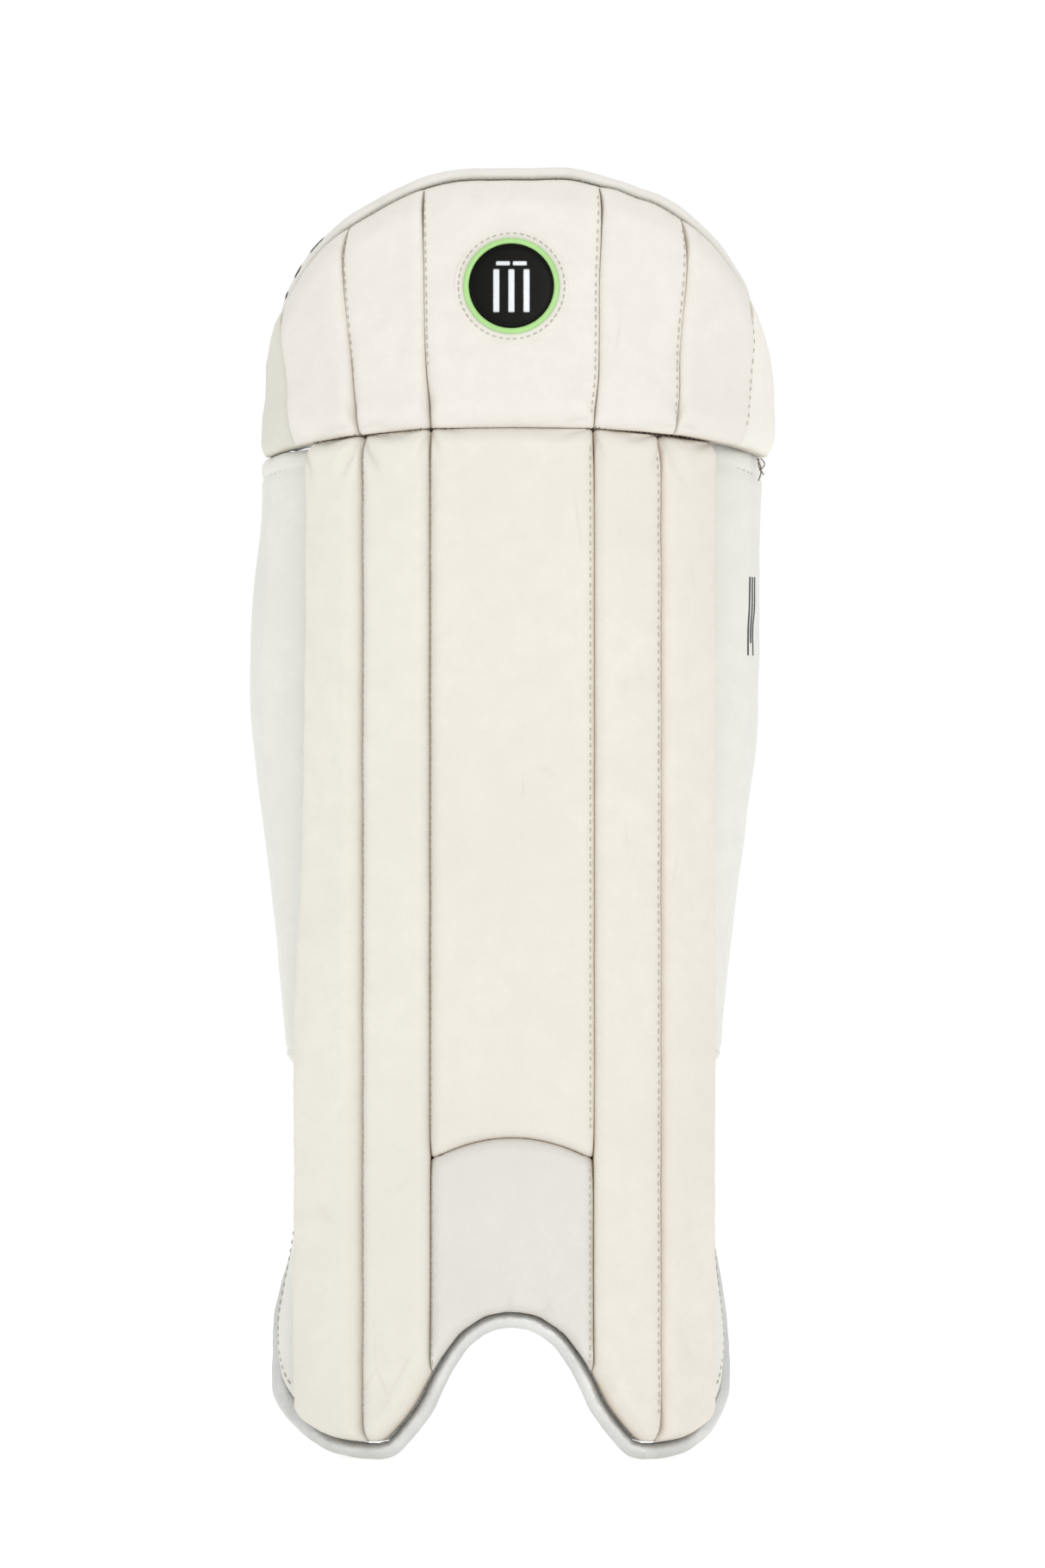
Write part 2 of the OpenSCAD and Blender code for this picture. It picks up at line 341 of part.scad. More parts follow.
shin_cover_centre();
shin_cover_inner_left();
shin_cover_inner_right();
shin_cover_outer_left();
shin_cover_outer_right();
instep_cover();
shin_core_centre();
shin_core_inner_left();
shin_core_inner_right();
shin_core_outer_left();
shin_core_outer_right();
instep_core();
cane_rods();
backing_board();
shin_lining();
leg_rest_pad();
leg_bolster_left();
leg_bolster_right();
edge_piping();
ankle_wing_cover_left();
ankle_wing_cover_right();
ankle_wing_foam();
ankle_wing_lining();
ankle_loop_patch();
ankle_strap_anchor();
flap_cover_centre();
flap_cover_inner_left();
flap_cover_inner_right();
flap_cover_mid_left();
flap_cover_mid_right();
flap_cover_edge_left();
flap_cover_edge_right();
flap_core_centre();
flap_cores_left();
flap_cores_right();
flap_board();
flap_lining();
knee_cushion();
top_binding();
badge_patch();
badge_rim();
badge_face();
badge_emblem();
wing_cover_left();
wing_cover_right();
wing_foam_left();
wing_foam_right();
wing_lining_left();
wing_lining_right();
wing_hinge_seams();
calf_loop_patches();
calf_strap_anchors();
upper_calf_strap();
upper_strap_tip();
lower_calf_strap();
lower_strap_tip();
ankle_strap();
ankle_strap_tip();
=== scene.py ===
import json
import math
import bpy
import numpy as np
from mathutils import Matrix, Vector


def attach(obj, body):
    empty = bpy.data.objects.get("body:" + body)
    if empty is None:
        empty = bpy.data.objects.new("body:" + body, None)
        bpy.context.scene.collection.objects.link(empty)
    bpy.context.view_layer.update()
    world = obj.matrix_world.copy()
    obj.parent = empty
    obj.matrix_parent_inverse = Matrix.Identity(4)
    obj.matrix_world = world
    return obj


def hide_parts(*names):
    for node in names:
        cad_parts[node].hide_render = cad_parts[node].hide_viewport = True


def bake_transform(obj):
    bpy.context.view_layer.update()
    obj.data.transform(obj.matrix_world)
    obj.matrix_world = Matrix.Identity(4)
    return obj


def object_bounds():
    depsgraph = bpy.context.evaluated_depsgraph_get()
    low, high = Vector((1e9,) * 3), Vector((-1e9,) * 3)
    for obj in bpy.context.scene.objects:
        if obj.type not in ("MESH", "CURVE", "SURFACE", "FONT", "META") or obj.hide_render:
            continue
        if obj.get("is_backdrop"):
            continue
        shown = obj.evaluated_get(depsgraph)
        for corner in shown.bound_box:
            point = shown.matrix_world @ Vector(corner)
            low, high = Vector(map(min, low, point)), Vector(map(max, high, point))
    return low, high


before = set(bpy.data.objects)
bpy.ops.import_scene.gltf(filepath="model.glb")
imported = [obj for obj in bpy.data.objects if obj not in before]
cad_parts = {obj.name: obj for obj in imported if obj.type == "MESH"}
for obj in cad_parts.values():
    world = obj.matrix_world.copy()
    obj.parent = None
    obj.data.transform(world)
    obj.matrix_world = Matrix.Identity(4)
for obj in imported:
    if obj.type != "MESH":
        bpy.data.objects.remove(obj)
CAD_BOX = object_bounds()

# ---------------------------------------------------------------- numbers of the part, in its own millimetres
S1, S2, S3 = 39.0, 69.0, 91.0
ROLL, FLAP, WING, ANK = 14.0, 13.0, 11.0, 6.0
Y2 = (S2 - S1) * math.tan(math.radians(20))
Y3 = Y2 + (S3 - S2) * math.tan(math.radians(41))
LEAN = math.tan(math.radians(4))
HX, HY = 93.2, 31.5
FOOT = 0.3
UPZ, LOZ, ANZ = 400.0, 262.0, 159.0
LOBE = np.array([[0, 63.5], [10, 61.8], [20, 55.4], [28, 45], [33.5, 35], [38.5, 24.6], [46, 14.4],
                 [55, 4.5], [61, 1.6], [67, 0.6], [75, 0.9], [82, 2.2], [88, 4.8], [95, 10], [99.6, 14.4]], float)


def lobe_off(d):
    out = []
    for i in range(len(LOBE)):
        t = LOBE[min(i + 1, len(LOBE) - 1)] - LOBE[max(i - 1, 0)]
        t = np.array([1.0, 0.0]) if i == 0 else t / np.linalg.norm(t)
        out.append(LOBE[i] + d * np.array([-t[1], t[0]]))
    return np.array(out)


LOW = lobe_off(8.6)
TOP = np.array([[0, 612.5], [25, 612], [35, 610], [43, 607.6], [50, 604.5], [59, 600.4], [65, 597.3], [73, 593], [80.5, 588], [88, 581.5],
                [97, 571], [104, 559.3], [107.7, 551.5], [110, 543], [113.5, 531]], float)
SEAM = np.array([[0, 493.5], [39, 493.2], [73, 490], [104, 485.5], [121, 481]], float)


def smooth_table(tab, mirror=True, width=2.0):
    """A table as a finer, rounder one: sampled, then smoothed over a few millimetres."""
    xs = np.arange(tab[0, 0] - (30 if mirror else 0), tab[-1, 0] + 0.01, 0.5)
    ys = np.interp(np.abs(xs) if mirror else xs, tab[:, 0], tab[:, 1])
    k = np.exp(-0.5 * (np.arange(-12, 13) * 0.5 / width) ** 2)
    pad = np.concatenate([np.full(12, ys[0]) + (np.arange(-12, 0)) * (ys[1] - ys[0]), ys, ys[-1] + np.arange(1, 13) * (ys[-1] - ys[-2])])
    ys = np.convolve(pad, k / k.sum(), "valid")
    keep = xs >= tab[0, 0] - 1e-6
    return xs[keep], ys[keep]


LOWX, LOWZ = smooth_table(LOW, True, 1.5)
TOPX, TOPZ = smooth_table(TOP, True, 2.0)


def z_low(x):
    return np.interp(np.abs(x), LOWX, LOWZ)


def z_seam(x):
    return np.interp(np.abs(x), SEAM[:, 0], SEAM[:, 1])


def z_arc(x):
    return 155 - 10 * (x / S1) ** 2


def z_top(x):
    return np.interp(np.abs(x), TOPX, TOPZ)


def kick(z):
    z = np.asarray(z, float)
    return np.where(z < 120, -10 * ((120 - z) / 120) ** 2, np.where(z > 493, (z - 493) * LEAN, 0.0))


def to_world(p):
    p = np.asarray(p, float)
    return (p - np.array([0, 65.135, 0.87])) / 1000.0


def mixf(a, b, t):
    return a + (b - a) * t


# ---------------------------------------------------------------- mesh helpers
col = bpy.context.scene.collection


# how the stuffed pad has settled out of true: left and right differ by a few millimetres, as the real one does
SETTLE = np.array([
    [0, 494, 0, 0], [0, 530, 0, 0], [0, 560, 0, 0], [0, 590, 0, 0], [0, 612, 0, 0], [24, 535, 0, 0], [24, 585, 0, 0], [-24, 535, 0, 0], [-24, 585, 0, 0],
    [39, 494, -1, 0], [39, 560, 0, 0], [41, 612, 0, 1], [52, 604, 1.5, 2.5], [71, 494, 4.5, 0.3], [75, 540, 2, 0], [78, 590, 1.2, 4.5], [72, 595, 2, 4.5],
    [96, 572, 3, 4], [101, 488, 5.3, 0], [104, 520, 3.6, 0], [90, 540, 2.5, 1], [108, 553, 4.5, 4.5], [112, 545, 3.6, 5.5], [115, 535, 5, 3], [119, 515, 6.3, 0],
    [119, 497, 6.2, 0], [120, 482, 4, 0],
    [-39, 494, 1.6, 0], [-39, 560, 0.3, 0], [-41, 612, 0, 0], [-71, 494, 0, 0], [-72, 540, 1, 0], [-78, 590, 2.2, 0.5], [-96, 572, 0.6, 0], [-108, 553, 0.4, 0],
    [-119, 516, 2, 0], [-119, 492, 0.3, 0], [-104, 500, 0, 0]], float)


def ramp01(v):
    v = np.clip(v, 0, 1)
    return v * v * (3 - 2 * v)


def settle(name, V):
    P = V * 1000 + np.array([0, 65.135, 0.87])
    x, y, z = P[:, 0].copy(), P[:, 1], P[:, 2]
    a = np.abs(x); left = x < 0
    if name.startswith(("flap_", "top_binding", "binding_dash")):
        d2 = (x[:, None] - SETTLE[None, :, 0]) ** 2 + (z[:, None] - SETTLE[None, :, 1]) ** 2
        w = 1 / (d2 + 60.0) ** 1.8
        w /= w.sum(1, keepdims=True)
        P[:, 0] = x + w @ SETTLE[:, 2]; P[:, 2] = z + w @ SETTLE[:, 3]
        if name == "flap_lining_pad":      # the lining hangs a little lower behind the left corner of the knee seam
            P[:, 2] -= left * 1.6 * ramp01((a - 91) / 2.5) * (1 - ramp01((a - 104) / 4)) * ramp01((495 - z) / 7)
    elif name.startswith(("shin_", "instep", "silver_piping", "ankle_wing_pad", "ankle_lining_pad", "ankle_stitches")):
        e = np.interp(z, [20, 60, 150, 214, 300, 400, 480], [5.5, 6, 6.4, 6, 1.5, 0, 0])
        o = np.interp(z, [0, 10, 25, 45, 66, 86, 106, 148, 180, 214], [14, 13, 11.5, 9.8, 11.7, 11.4, 8, 8, 8, 6])
        back = 1 - ramp01((y - 60) / 19)
        k = np.select([a < 40.5, a < 73.3, a < 97, a < 107], [-1.7 * a / 40.5, -1.7 - 0.7 * (a - 40.5) / 32.8, -2.4 + (e + 2.4) * (a - 73.3) / 23.7, e + (o - e) * (a - 97) / 10], o)
        back = np.maximum(back, 1 - ramp01((z - 108) / 20))
        k = k * np.where(k > 0, back, 1)
        kr = np.interp(a, [0, 40.5, 73.3, 97, 107], [0, -1.2, -2.8, 0, 0])
        rim = ramp01((z - 26) / 20) * (1 - ramp01((z - 104) / 16)) * ramp01((a - 92) / 8)
        if name.startswith("silver"):
            k = k + 1.3 * rim
            kr = kr + 0.4 * rim
        elif name.startswith("ankle"):
            k = k + 0.6 * rim
            kr = kr - 0.9 * rim
        P[:, 0] = np.where(left, x - k, x + kr)
    elif name.startswith(("wing_pad", "wing_lining", "wing_edge", "wing_print")):
        f = ramp01((y - 34) / 24) * (1 - ramp01((y - 90) / 28))
        kl = np.interp(z, [186, 230, 271, 312, 353, 394, 434, 455, 482], [8.8, 8.2, 7.4, 6.8, 7, 6.6, 4.5, 3.3, 2.2])
        kr = np.interp(z, [186, 400, 430, 455, 482], [0.5, 0, 1.2, 2.5, 3])
        P[:, 0] = np.where(left, x - kl * f, x + kr * f)
        drop = left * (1.7 - 1.2 * ramp01((a - 103) / 5))      # lower beside the hinge, so that the left wing clears the flap's underside as it opens
        P[:, 2] = z + (np.where(left, 0.9, 1.8) * (a < 119.6) - drop) * ramp01((z - 466) / 16)
    else:
        return V
    return (P - np.array([0, 65.135, 0.87])) / 1000.0


def new_object(name, verts, faces, uv=None, attrs=None, smooth=True, mats=()):
    verts = settle(name, np.asarray(verts, float))
    me = bpy.data.meshes.new(name)
    me.from_pydata([tuple(v) for v in np.asarray(verts, float).tolist()], [], faces)
    me.polygons.foreach_set("use_smooth", np.full(len(me.polygons), bool(smooth)))
    if uv is not None:
        layer = me.uv_layers.new(name="metres")
        idx = np.empty(len(me.loops), int)
        me.loops.foreach_get("vertex_index", idx)
        layer.data.foreach_set("uv", np.asarray(uv, float)[idx].ravel())
    for key, val in (attrs or {}).items():
        a = me.attributes.new(key, "FLOAT", "POINT")
        a.data.foreach_set("value", np.asarray(val, float).ravel())
    me.validate()
    me.update()
    ob = bpy.data.objects.new(name, me)
    col.objects.link(ob)
    for m in mats:
        me.materials.append(m)
    return ob


def flip(faces):
    return [f[::-1] for f in faces]


def tray(name, A, B, uv=None, seam=None, mirror=False, full_back=False, mats=()):
    """A closed solid: front grid A, back grid B (only its rim is used, unless full_back)."""
    m, n = A.shape[:2]
    verts = [A.reshape(-1, 3)]
    uvs = [uv.reshape(-1, 2)] if uv is not None else None
    # seam: the mask of painted groove shade that the leather material reads
    sm = [seam.reshape(-1)] if seam is not None else None
    bi = {}
    pts = []
    for i in range(m):
        for j in range(n):
            if full_back or i in (0, m - 1) or j in (0, n - 1):
                bi[i, j] = m * n + len(pts)
                pts.append((i, j))
    ii = np.array([p[0] for p in pts]); jj = np.array([p[1] for p in pts])
    verts.append(B[ii, jj])
    if uvs is not None:
        uvs.append(uv[ii, jj])
    if sm is not None:
        sm.append(seam[ii, jj] if full_back else np.ones(len(pts)))
    T = lambda i, j: i * n + j
    faces = [[T(i, j), T(i, j + 1), T(i + 1, j + 1), T(i + 1, j)] for i in range(m - 1) for j in range(n - 1)]
    for i in range(m - 1):
        faces.append([T(i, 0), T(i + 1, 0), bi[i + 1, 0], bi[i, 0]])
        faces.append([T(i + 1, n - 1), T(i, n - 1), bi[i, n - 1], bi[i + 1, n - 1]])
    for j in range(n - 1):
        faces.append([T(0, j + 1), T(0, j), bi[0, j], bi[0, j + 1]])
        faces.append([T(m - 1, j), T(m - 1, j + 1), bi[m - 1, j + 1], bi[m - 1, j]])
    if full_back:
        faces += [[bi[i, j], bi[i + 1, j], bi[i + 1, j + 1], bi[i, j + 1]] for i in range(m - 1) for j in range(n - 1)]
    else:
        faces.append([bi[0, j] for j in range(n - 1, -1, -1)][::-1][::-1] + [bi[1, 0], bi[1, n - 1]])
        for i in range(1, m - 2):
            faces.append([bi[i, 0], bi[i + 1, 0], bi[i + 1, n - 1], bi[i, n - 1]])
        faces.append([bi[m - 2, n - 1], bi[m - 2, 0]] + [bi[m - 1, j] for j in range(n)])
    V = to_world(np.concatenate(verts))
    if mirror:
        V[:, 0] *= -1
        faces = flip(faces)
    return new_object(name, V, faces, None if uvs is None else np.concatenate(uvs) / 1000.0,
                      None if sm is None else {"seam": np.concatenate(sm)}, True, mats)


def rounded_section(w, t, n=5, e=1.0):
    """Rounded rectangle section w wide, t thick; its short sides are half round."""
    r = t / 2 * e
    pts = []
    for cx, cy, a0 in ((w / 2 - r, t / 2 - r, 0), (-w / 2 + r, t / 2 - r, 90), (-w / 2 + r, -t / 2 + r, 180), (w / 2 - r, -t / 2 + r, 270)):
        for q in range(n):
            a = math.radians(a0 + 90 * q / (n - 1))
            pts.append((cx + r * math.cos(a), cy + r * math.sin(a)))
    # extra points along the two wide faces, so that a weave can be shaded evenly
    out = []
    m = len(pts)
    for i in range(m):
        a, b = pts[i], pts[(i + 1) % m]
        out.append(a)
        if abs(a[0] - b[0]) > w * 0.4:
            for q in (0.2, 0.4, 0.6, 0.8):
                out.append((a[0] + (b[0] - a[0]) * q, a[1]))
    return np.array(out)


def loft(name, rings, uv=None, closed=False, mirror=False, smooth=True, mats=(), world=False, attrs=None):
    """A closed tube through the rings (m, n, 3), capped at both ends."""
    rings = np.asarray(rings, float)
    m, n = rings.shape[:2]
    F = [[i * n + j, (i + 1) * n + j, (i + 1) * n + (j + 1) % n, i * n + (j + 1) % n] for i in range(m - 1) for j in range(n)]
    if closed:
        F += [[(m - 1) * n + j, j, (j + 1) % n, (m - 1) * n + (j + 1) % n] for j in range(n)]
    else:
        F.append(list(range(n)))
        F.append([(m - 1) * n + j for j in range(n - 1, -1, -1)])
    V = rings.reshape(-1, 3)
    V = V if world else to_world(V)
    V = V.copy()
    if mirror:
        V[:, 0] *= -1
        F = flip(F)
    ob = new_object(name, V, F, None if uv is None else np.asarray(uv, float).reshape(-1, 2) / 1000.0, attrs, smooth, mats)
    import bmesh
    bm = bmesh.new(); bm.from_mesh(ob.data)
    bmesh.ops.recalc_face_normals(bm, faces=bm.faces)
    bm.to_mesh(ob.data); bm.free()
    return ob


def catmull(P, step):
    """Points evenly spaced on a smooth curve through P."""
    P = np.asarray(P, float)
    Q = np.vstack([2 * P[0] - P[1], P, 2 * P[-1] - P[-2]])
    out = []
    for i in range(1, len(Q) - 2):
        a, b, c, d = Q[i - 1:i + 3]
        L = np.linalg.norm(c - b)
        k = max(2, int(L / (step * 0.5)))
        t = np.linspace(0, 1, k, endpoint=False)[:, None]
        out.append(0.5 * (2 * b + (c - a) * t + (2 * a - 5 * b + 4 * c - d) * t ** 2 + (3 * b - a - 3 * c + d) * t ** 3))
    out.append(Q[-2][None])
    C = np.vstack(out)
    return resample(C, step)


def resample(C, step):
    s = np.concatenate([[0], np.cumsum(np.linalg.norm(np.diff(C, axis=0), axis=1))])
    k = max(2, int(round(s[-1] / step)) + 1)
    t = np.linspace(0, s[-1], k)
    return np.stack([np.interp(t, s, C[:, c]) for c in range(C.shape[1])], 1)


def tangents(P):
    t = np.gradient(P, axis=0)
    return t / np.maximum(np.linalg.norm(t, axis=1, keepdims=True), 1e-9)


def unit(v):
    return v / np.maximum(np.linalg.norm(v, axis=-1, keepdims=True), 1e-9)


def waves(a, b, seed, length, amp, n=7):
    rng = np.random.default_rng(seed)
    out = 0
    for _ in range(n):
        k = 2 * math.pi / (length * rng.uniform(0.65, 1.6)); q = rng.uniform(0, 2 * math.pi); ph = rng.uniform(0, 2 * math.pi)
        out = out + np.sin(k * (math.cos(q) * a + math.sin(q) * b) + ph)
    return amp * out / math.sqrt(n)


def edge_list(length, step, fine=(0, 0.1, 0.3, 0.6, 1.0, 1.5, 2.2, 3.0, 4.0, 5.2, 6.6, 8.2)):
    f = [q for q in fine if q < length * 0.45]
    rest = length - 2 * f[-1]
    k = max(1, int(round(rest / step)))
    mid = [f[-1] + rest * i / k for i in range(1, k)]
    return np.array(f + mid + [length - q for q in f[::-1]])


def puff(d, R, p=0.65):
    x = np.clip(d / R, 0, 1)
    return np.sin(0.5 * math.pi * x) ** p


# ---------------------------------------------------------------- materials
def node(nt, kind, **kw):
    n = nt.nodes.new(kind)
    for k, v in kw.items():
        if k.startswith("i_"):
            n.inputs[k[2:].replace("__", " ")].default_value = v
        else:
            setattr(n, k, v)
    return n


def base_material(name, rough=0.5, spec=0.5, metal=0.0, coat=0.0, coat_rough=0.1, sheen=0.0, sheen_rough=0.5):
    m = bpy.data.materials.new(name)
    m.use_nodes = True
    nt = m.node_tree
    b = nt.nodes["Principled BSDF"]
    b.inputs["Roughness"].default_value = rough
    b.inputs["Specular IOR Level"].default_value = spec
    b.inputs["Metallic"].default_value = metal
    b.inputs["Coat Weight"].default_value = coat
    b.inputs["Coat Roughness"].default_value = coat_rough
    b.inputs["Sheen Weight"].default_value = sheen
    b.inputs["Sheen Roughness"].default_value = sheen_rough
    return m, nt, b


EXPO = 1.36      # how much brighter than its own albedo a front face comes out under the studio light


def lin(c):
    return tuple((v / 12.92 if v <= 0.04045 else ((v + 0.055) / 1.055) ** 2.4) / EXPO for v in (q / 255.0 for q in c)) + (1.0,)


def ramp(nt, stops, src=None):
    r = nt.nodes.new("ShaderNodeValToRGB")
    e = r.color_ramp.elements
    while len(e) > 1:
        e.remove(e[-1])
    e[0].position, e[0].color = stops[0]
    for p, c in stops[1:]:
        x = e.new(p); x.color = c
    if src is not None:
        nt.links.new(src, r.inputs[0])
    return r


def mapped(nt, uv=False, scale=(1, 1, 1), rot=(0, 0, 0)):
    tc = nt.nodes.new("ShaderNodeTexCoord")
    mp = nt.nodes.new("ShaderNodeMapping")
    mp.inputs["Scale"].default_value = scale
    mp.inputs["Rotation"].default_value = rot
    nt.links.new(tc.outputs["UV" if uv else "Object"], mp.inputs["Vector"])
    return mp.outputs["Vector"]


def mixc(nt, fac, a, b, kind="MIX"):
    m = nt.nodes.new("ShaderNodeMix")
    m.data_type = "RGBA"
    m.blend_type = kind
    for sock, v in ((m.inputs["Factor"], fac), (m.inputs[6], a), (m.inputs[7], b)):
        if hasattr(v, "is_output") or isinstance(v, bpy.types.NodeSocket):
            nt.links.new(v, sock)
        else:
            sock.default_value = v
    return m.outputs[2]


def mathn(nt, op, a, b=0.0, c=None, clamp=False):
    m = nt.nodes.new("ShaderNodeMath")
    m.operation = op
    m.use_clamp = clamp
    for i, v in enumerate((a, b) if c is None else (a, b, c)):
        if isinstance(v, bpy.types.NodeSocket):
            nt.links.new(v, m.inputs[i])
        else:
            m.inputs[i].default_value = v
    return m.outputs[0]


def noise(nt, vec, scale, detail=3.0, rough=0.55, dist=0.0):
    n = nt.nodes.new("ShaderNodeTexNoise")
    n.inputs["Scale"].default_value = scale
    n.inputs["Detail"].default_value = detail
    n.inputs["Roughness"].default_value = rough
    n.inputs["Distortion"].default_value = dist
    nt.links.new(vec, n.inputs["Vector"])
    return n.outputs["Fac"]


def voronoi(nt, vec, scale, feature="DISTANCE_TO_EDGE", rand=1.0):
    n = nt.nodes.new("ShaderNodeTexVoronoi")
    n.feature = feature
    n.inputs["Scale"].default_value = scale
    n.inputs["Randomness"].default_value = rand
    nt.links.new(vec, n.inputs["Vector"])
    return n.outputs["Distance"]


def bump(nt, b, height, strength, dist, prev=None):
    n = nt.nodes.new("ShaderNodeBump")
    n.inputs["Strength"].default_value = strength
    n.inputs["Distance"].default_value = dist
    nt.links.new(height, n.inputs["Height"])
    if prev is not None:
        nt.links.new(prev, n.inputs["Normal"])
    nt.links.new(n.outputs["Normal"], b.inputs["Normal"])
    return n.outputs["Normal"]


def leather(name, colour, groove_shade_colour, rough=(0.44, 0.6), grain=0.22, crease=0.35, spec=0.42, coat=0.06, groove_shade_amount=0.5):
    """PU leather: pebbled grain, soft creases, colour that drifts a little, painted tan shade in the seams."""
    m, nt, b = base_material(name, spec=spec, coat=coat, coat_rough=0.35)
    v = mapped(nt)
    drift = noise(nt, v, 9.0, 4.0, 0.6)
    speck = noise(nt, v, 90.0, 3.0, 0.6)
    c0 = lin(colour); c1 = lin(tuple(q * 0.972 for q in colour)); c2 = lin(tuple(min(255, q * 1.012) for q in colour))
    base = ramp(nt, [(0.3, c1), (0.5, c0), (0.72, c2)], drift).outputs[0]
    base = mixc(nt, ramp(nt, [(0.35, (0, 0, 0, 1)), (0.7, (1, 1, 1, 1))], speck).outputs[0], base, lin(tuple(q * 0.985 for q in colour)))
    # painted shade: near panel edges the seam mask, broken up by noise, mixes the colour towards the darker groove
    # colour
    at = nt.nodes.new("ShaderNodeAttribute"); at.attribute_name = "seam"
    painted_shade_noise = noise(nt, v, 60.0, 4.0, 0.65)
    s = mathn(nt, "MULTIPLY_ADD", painted_shade_noise, 0.5, -0.25)
    s = mathn(nt, "ADD", at.outputs["Fac"], s)
    f = ramp(nt, [(0.35, (0, 0, 0, 1)), (0.75, (groove_shade_amount * 0.45,) * 3 + (1,)), (1.0, (groove_shade_amount,) * 3 + (1,))], s).outputs[0]
    base = mixc(nt, f, base, lin(groove_shade_colour))
    # tiny scuffs
    sc = ramp(nt, [(0.0, (1, 1, 1, 1)), (0.035, (0, 0, 0, 1))], voronoi(nt, mapped(nt, scale=(1, 1, 0.35), rot=(0.2, 0.4, 0.1)), 34.0)).outputs[0]
    gate = ramp(nt, [(0.62, (0, 0, 0, 1)), (0.7, (0.12, 0.12, 0.12, 1))], noise(nt, v, 22.0, 2.0)).outputs[0]
    base = mixc(nt, mathn(nt, "MULTIPLY", sc, gate), base, lin((176, 168, 156)))
    nt.links.new(base, b.inputs["Base Color"])
    pebble = voronoi(nt, v, 900.0)
    fine = noise(nt, v, 1600.0, 2.0, 0.5)
    g = mathn(nt, "MULTIPLY_ADD", fine, 0.25, mathn(nt, "MINIMUM", pebble, 0.32))
    soft = noise(nt, v, 55.0, 5.0, 0.55, 0.6)
    line = ramp(nt, [(0.0, (0, 0, 0, 1)), (0.05, (1, 1, 1, 1))], voronoi(nt, mapped(nt, scale=(1, 1, 0.6)), 120.0)).outputs[0]
    n1 = bump(nt, b, soft, crease, 0.0016)
    n2 = bump(nt, b, line, 0.10, 0.0002, n1)
    bump(nt, b, g, grain, 0.0005, n2)
    nt.links.new(mathn(nt, "MULTIPLY_ADD", speck, rough[1] - rough[0], rough[0]), b.inputs["Roughness"])
    return m


def silver_leather(name):
    m, nt, b = base_material(name, metal=0.5, spec=0.5, coat=0.15, coat_rough=0.3)
    v = mapped(nt)
    d = noise(nt, v, 26.0, 4.0, 0.6)
    base = ramp(nt, [(0.3, lin((215, 216, 213))), (0.55, lin((231, 232, 229))), (0.75, lin((245, 245, 243)))], d).outputs[0]
    worn = ramp(nt, [(0.62, (0, 0, 0, 1)), (0.78, (0.35, 0.35, 0.35, 1))], noise(nt, v, 140.0, 5.0, 0.7)).outputs[0]
    base = mixc(nt, worn, base, lin((204, 202, 194)))
    nt.links.new(base, b.inputs["Base Color"])
    wr = noise(nt, v, 210.0, 5.0, 0.65, 1.4)
    n1 = bump(nt, b, wr, 0.42, 0.0011)
    n2 = bump(nt, b, noise(nt, v, 55.0, 3.0, 0.5, 0.8), 0.35, 0.003, n1)
    bump(nt, b, voronoi(nt, v, 1100.0), 0.12, 0.0004, n2)
    nt.links.new(mathn(nt, "MULTIPLY_ADD", noise(nt, v, 80.0), 0.18, 0.3), b.inputs["Roughness"])
    return m


def webbing(name, colour, pitch=1.5):
    """Woven strap: ribs across, herringbone along, pale thread flecks."""
    m, nt, b = base_material(name, spec=0.25, sheen=0.35, sheen_rough=0.4)
    vu = mapped(nt, uv=True)
    sep = nt.nodes.new("ShaderNodeSeparateXYZ"); nt.links.new(vu, sep.inputs[0])
    ribs = mathn(nt, "SINE", mathn(nt, "MULTIPLY", sep.outputs[0], 2 * math.pi / (pitch / 1000)))
    rows = mathn(nt, "PINGPONG", sep.outputs[1], 0.0022)
    tw = mathn(nt, "SINE", mathn(nt, "MULTIPLY", mathn(nt, "ADD", sep.outputs[0], rows), 2 * math.pi / 0.0013))
    h = mathn(nt, "MULTIPLY_ADD", tw, 0.5, mathn(nt, "MULTIPLY", ribs, 0.5))
    n = noise(nt, mapped(nt), 420.0, 3.0)
    shade = mathn(nt, "MULTIPLY_ADD", h, 0.25, mathn(nt, "MULTIPLY_ADD", n, 0.5, 0.25), clamp=True)
    base = ramp(nt, [(0.1, lin(tuple(q * 0.80 for q in colour))), (0.5, lin(tuple(q * 0.95 for q in colour))), (0.95, lin(colour))], shade).outputs[0]
    nt.links.new(base, b.inputs["Base Color"])
    bump(nt, b, h, 0.7, 0.0004)
    nt.links.new(mathn(nt, "MULTIPLY_ADD", n, 0.15, 0.72), b.inputs["Roughness"])
    return m


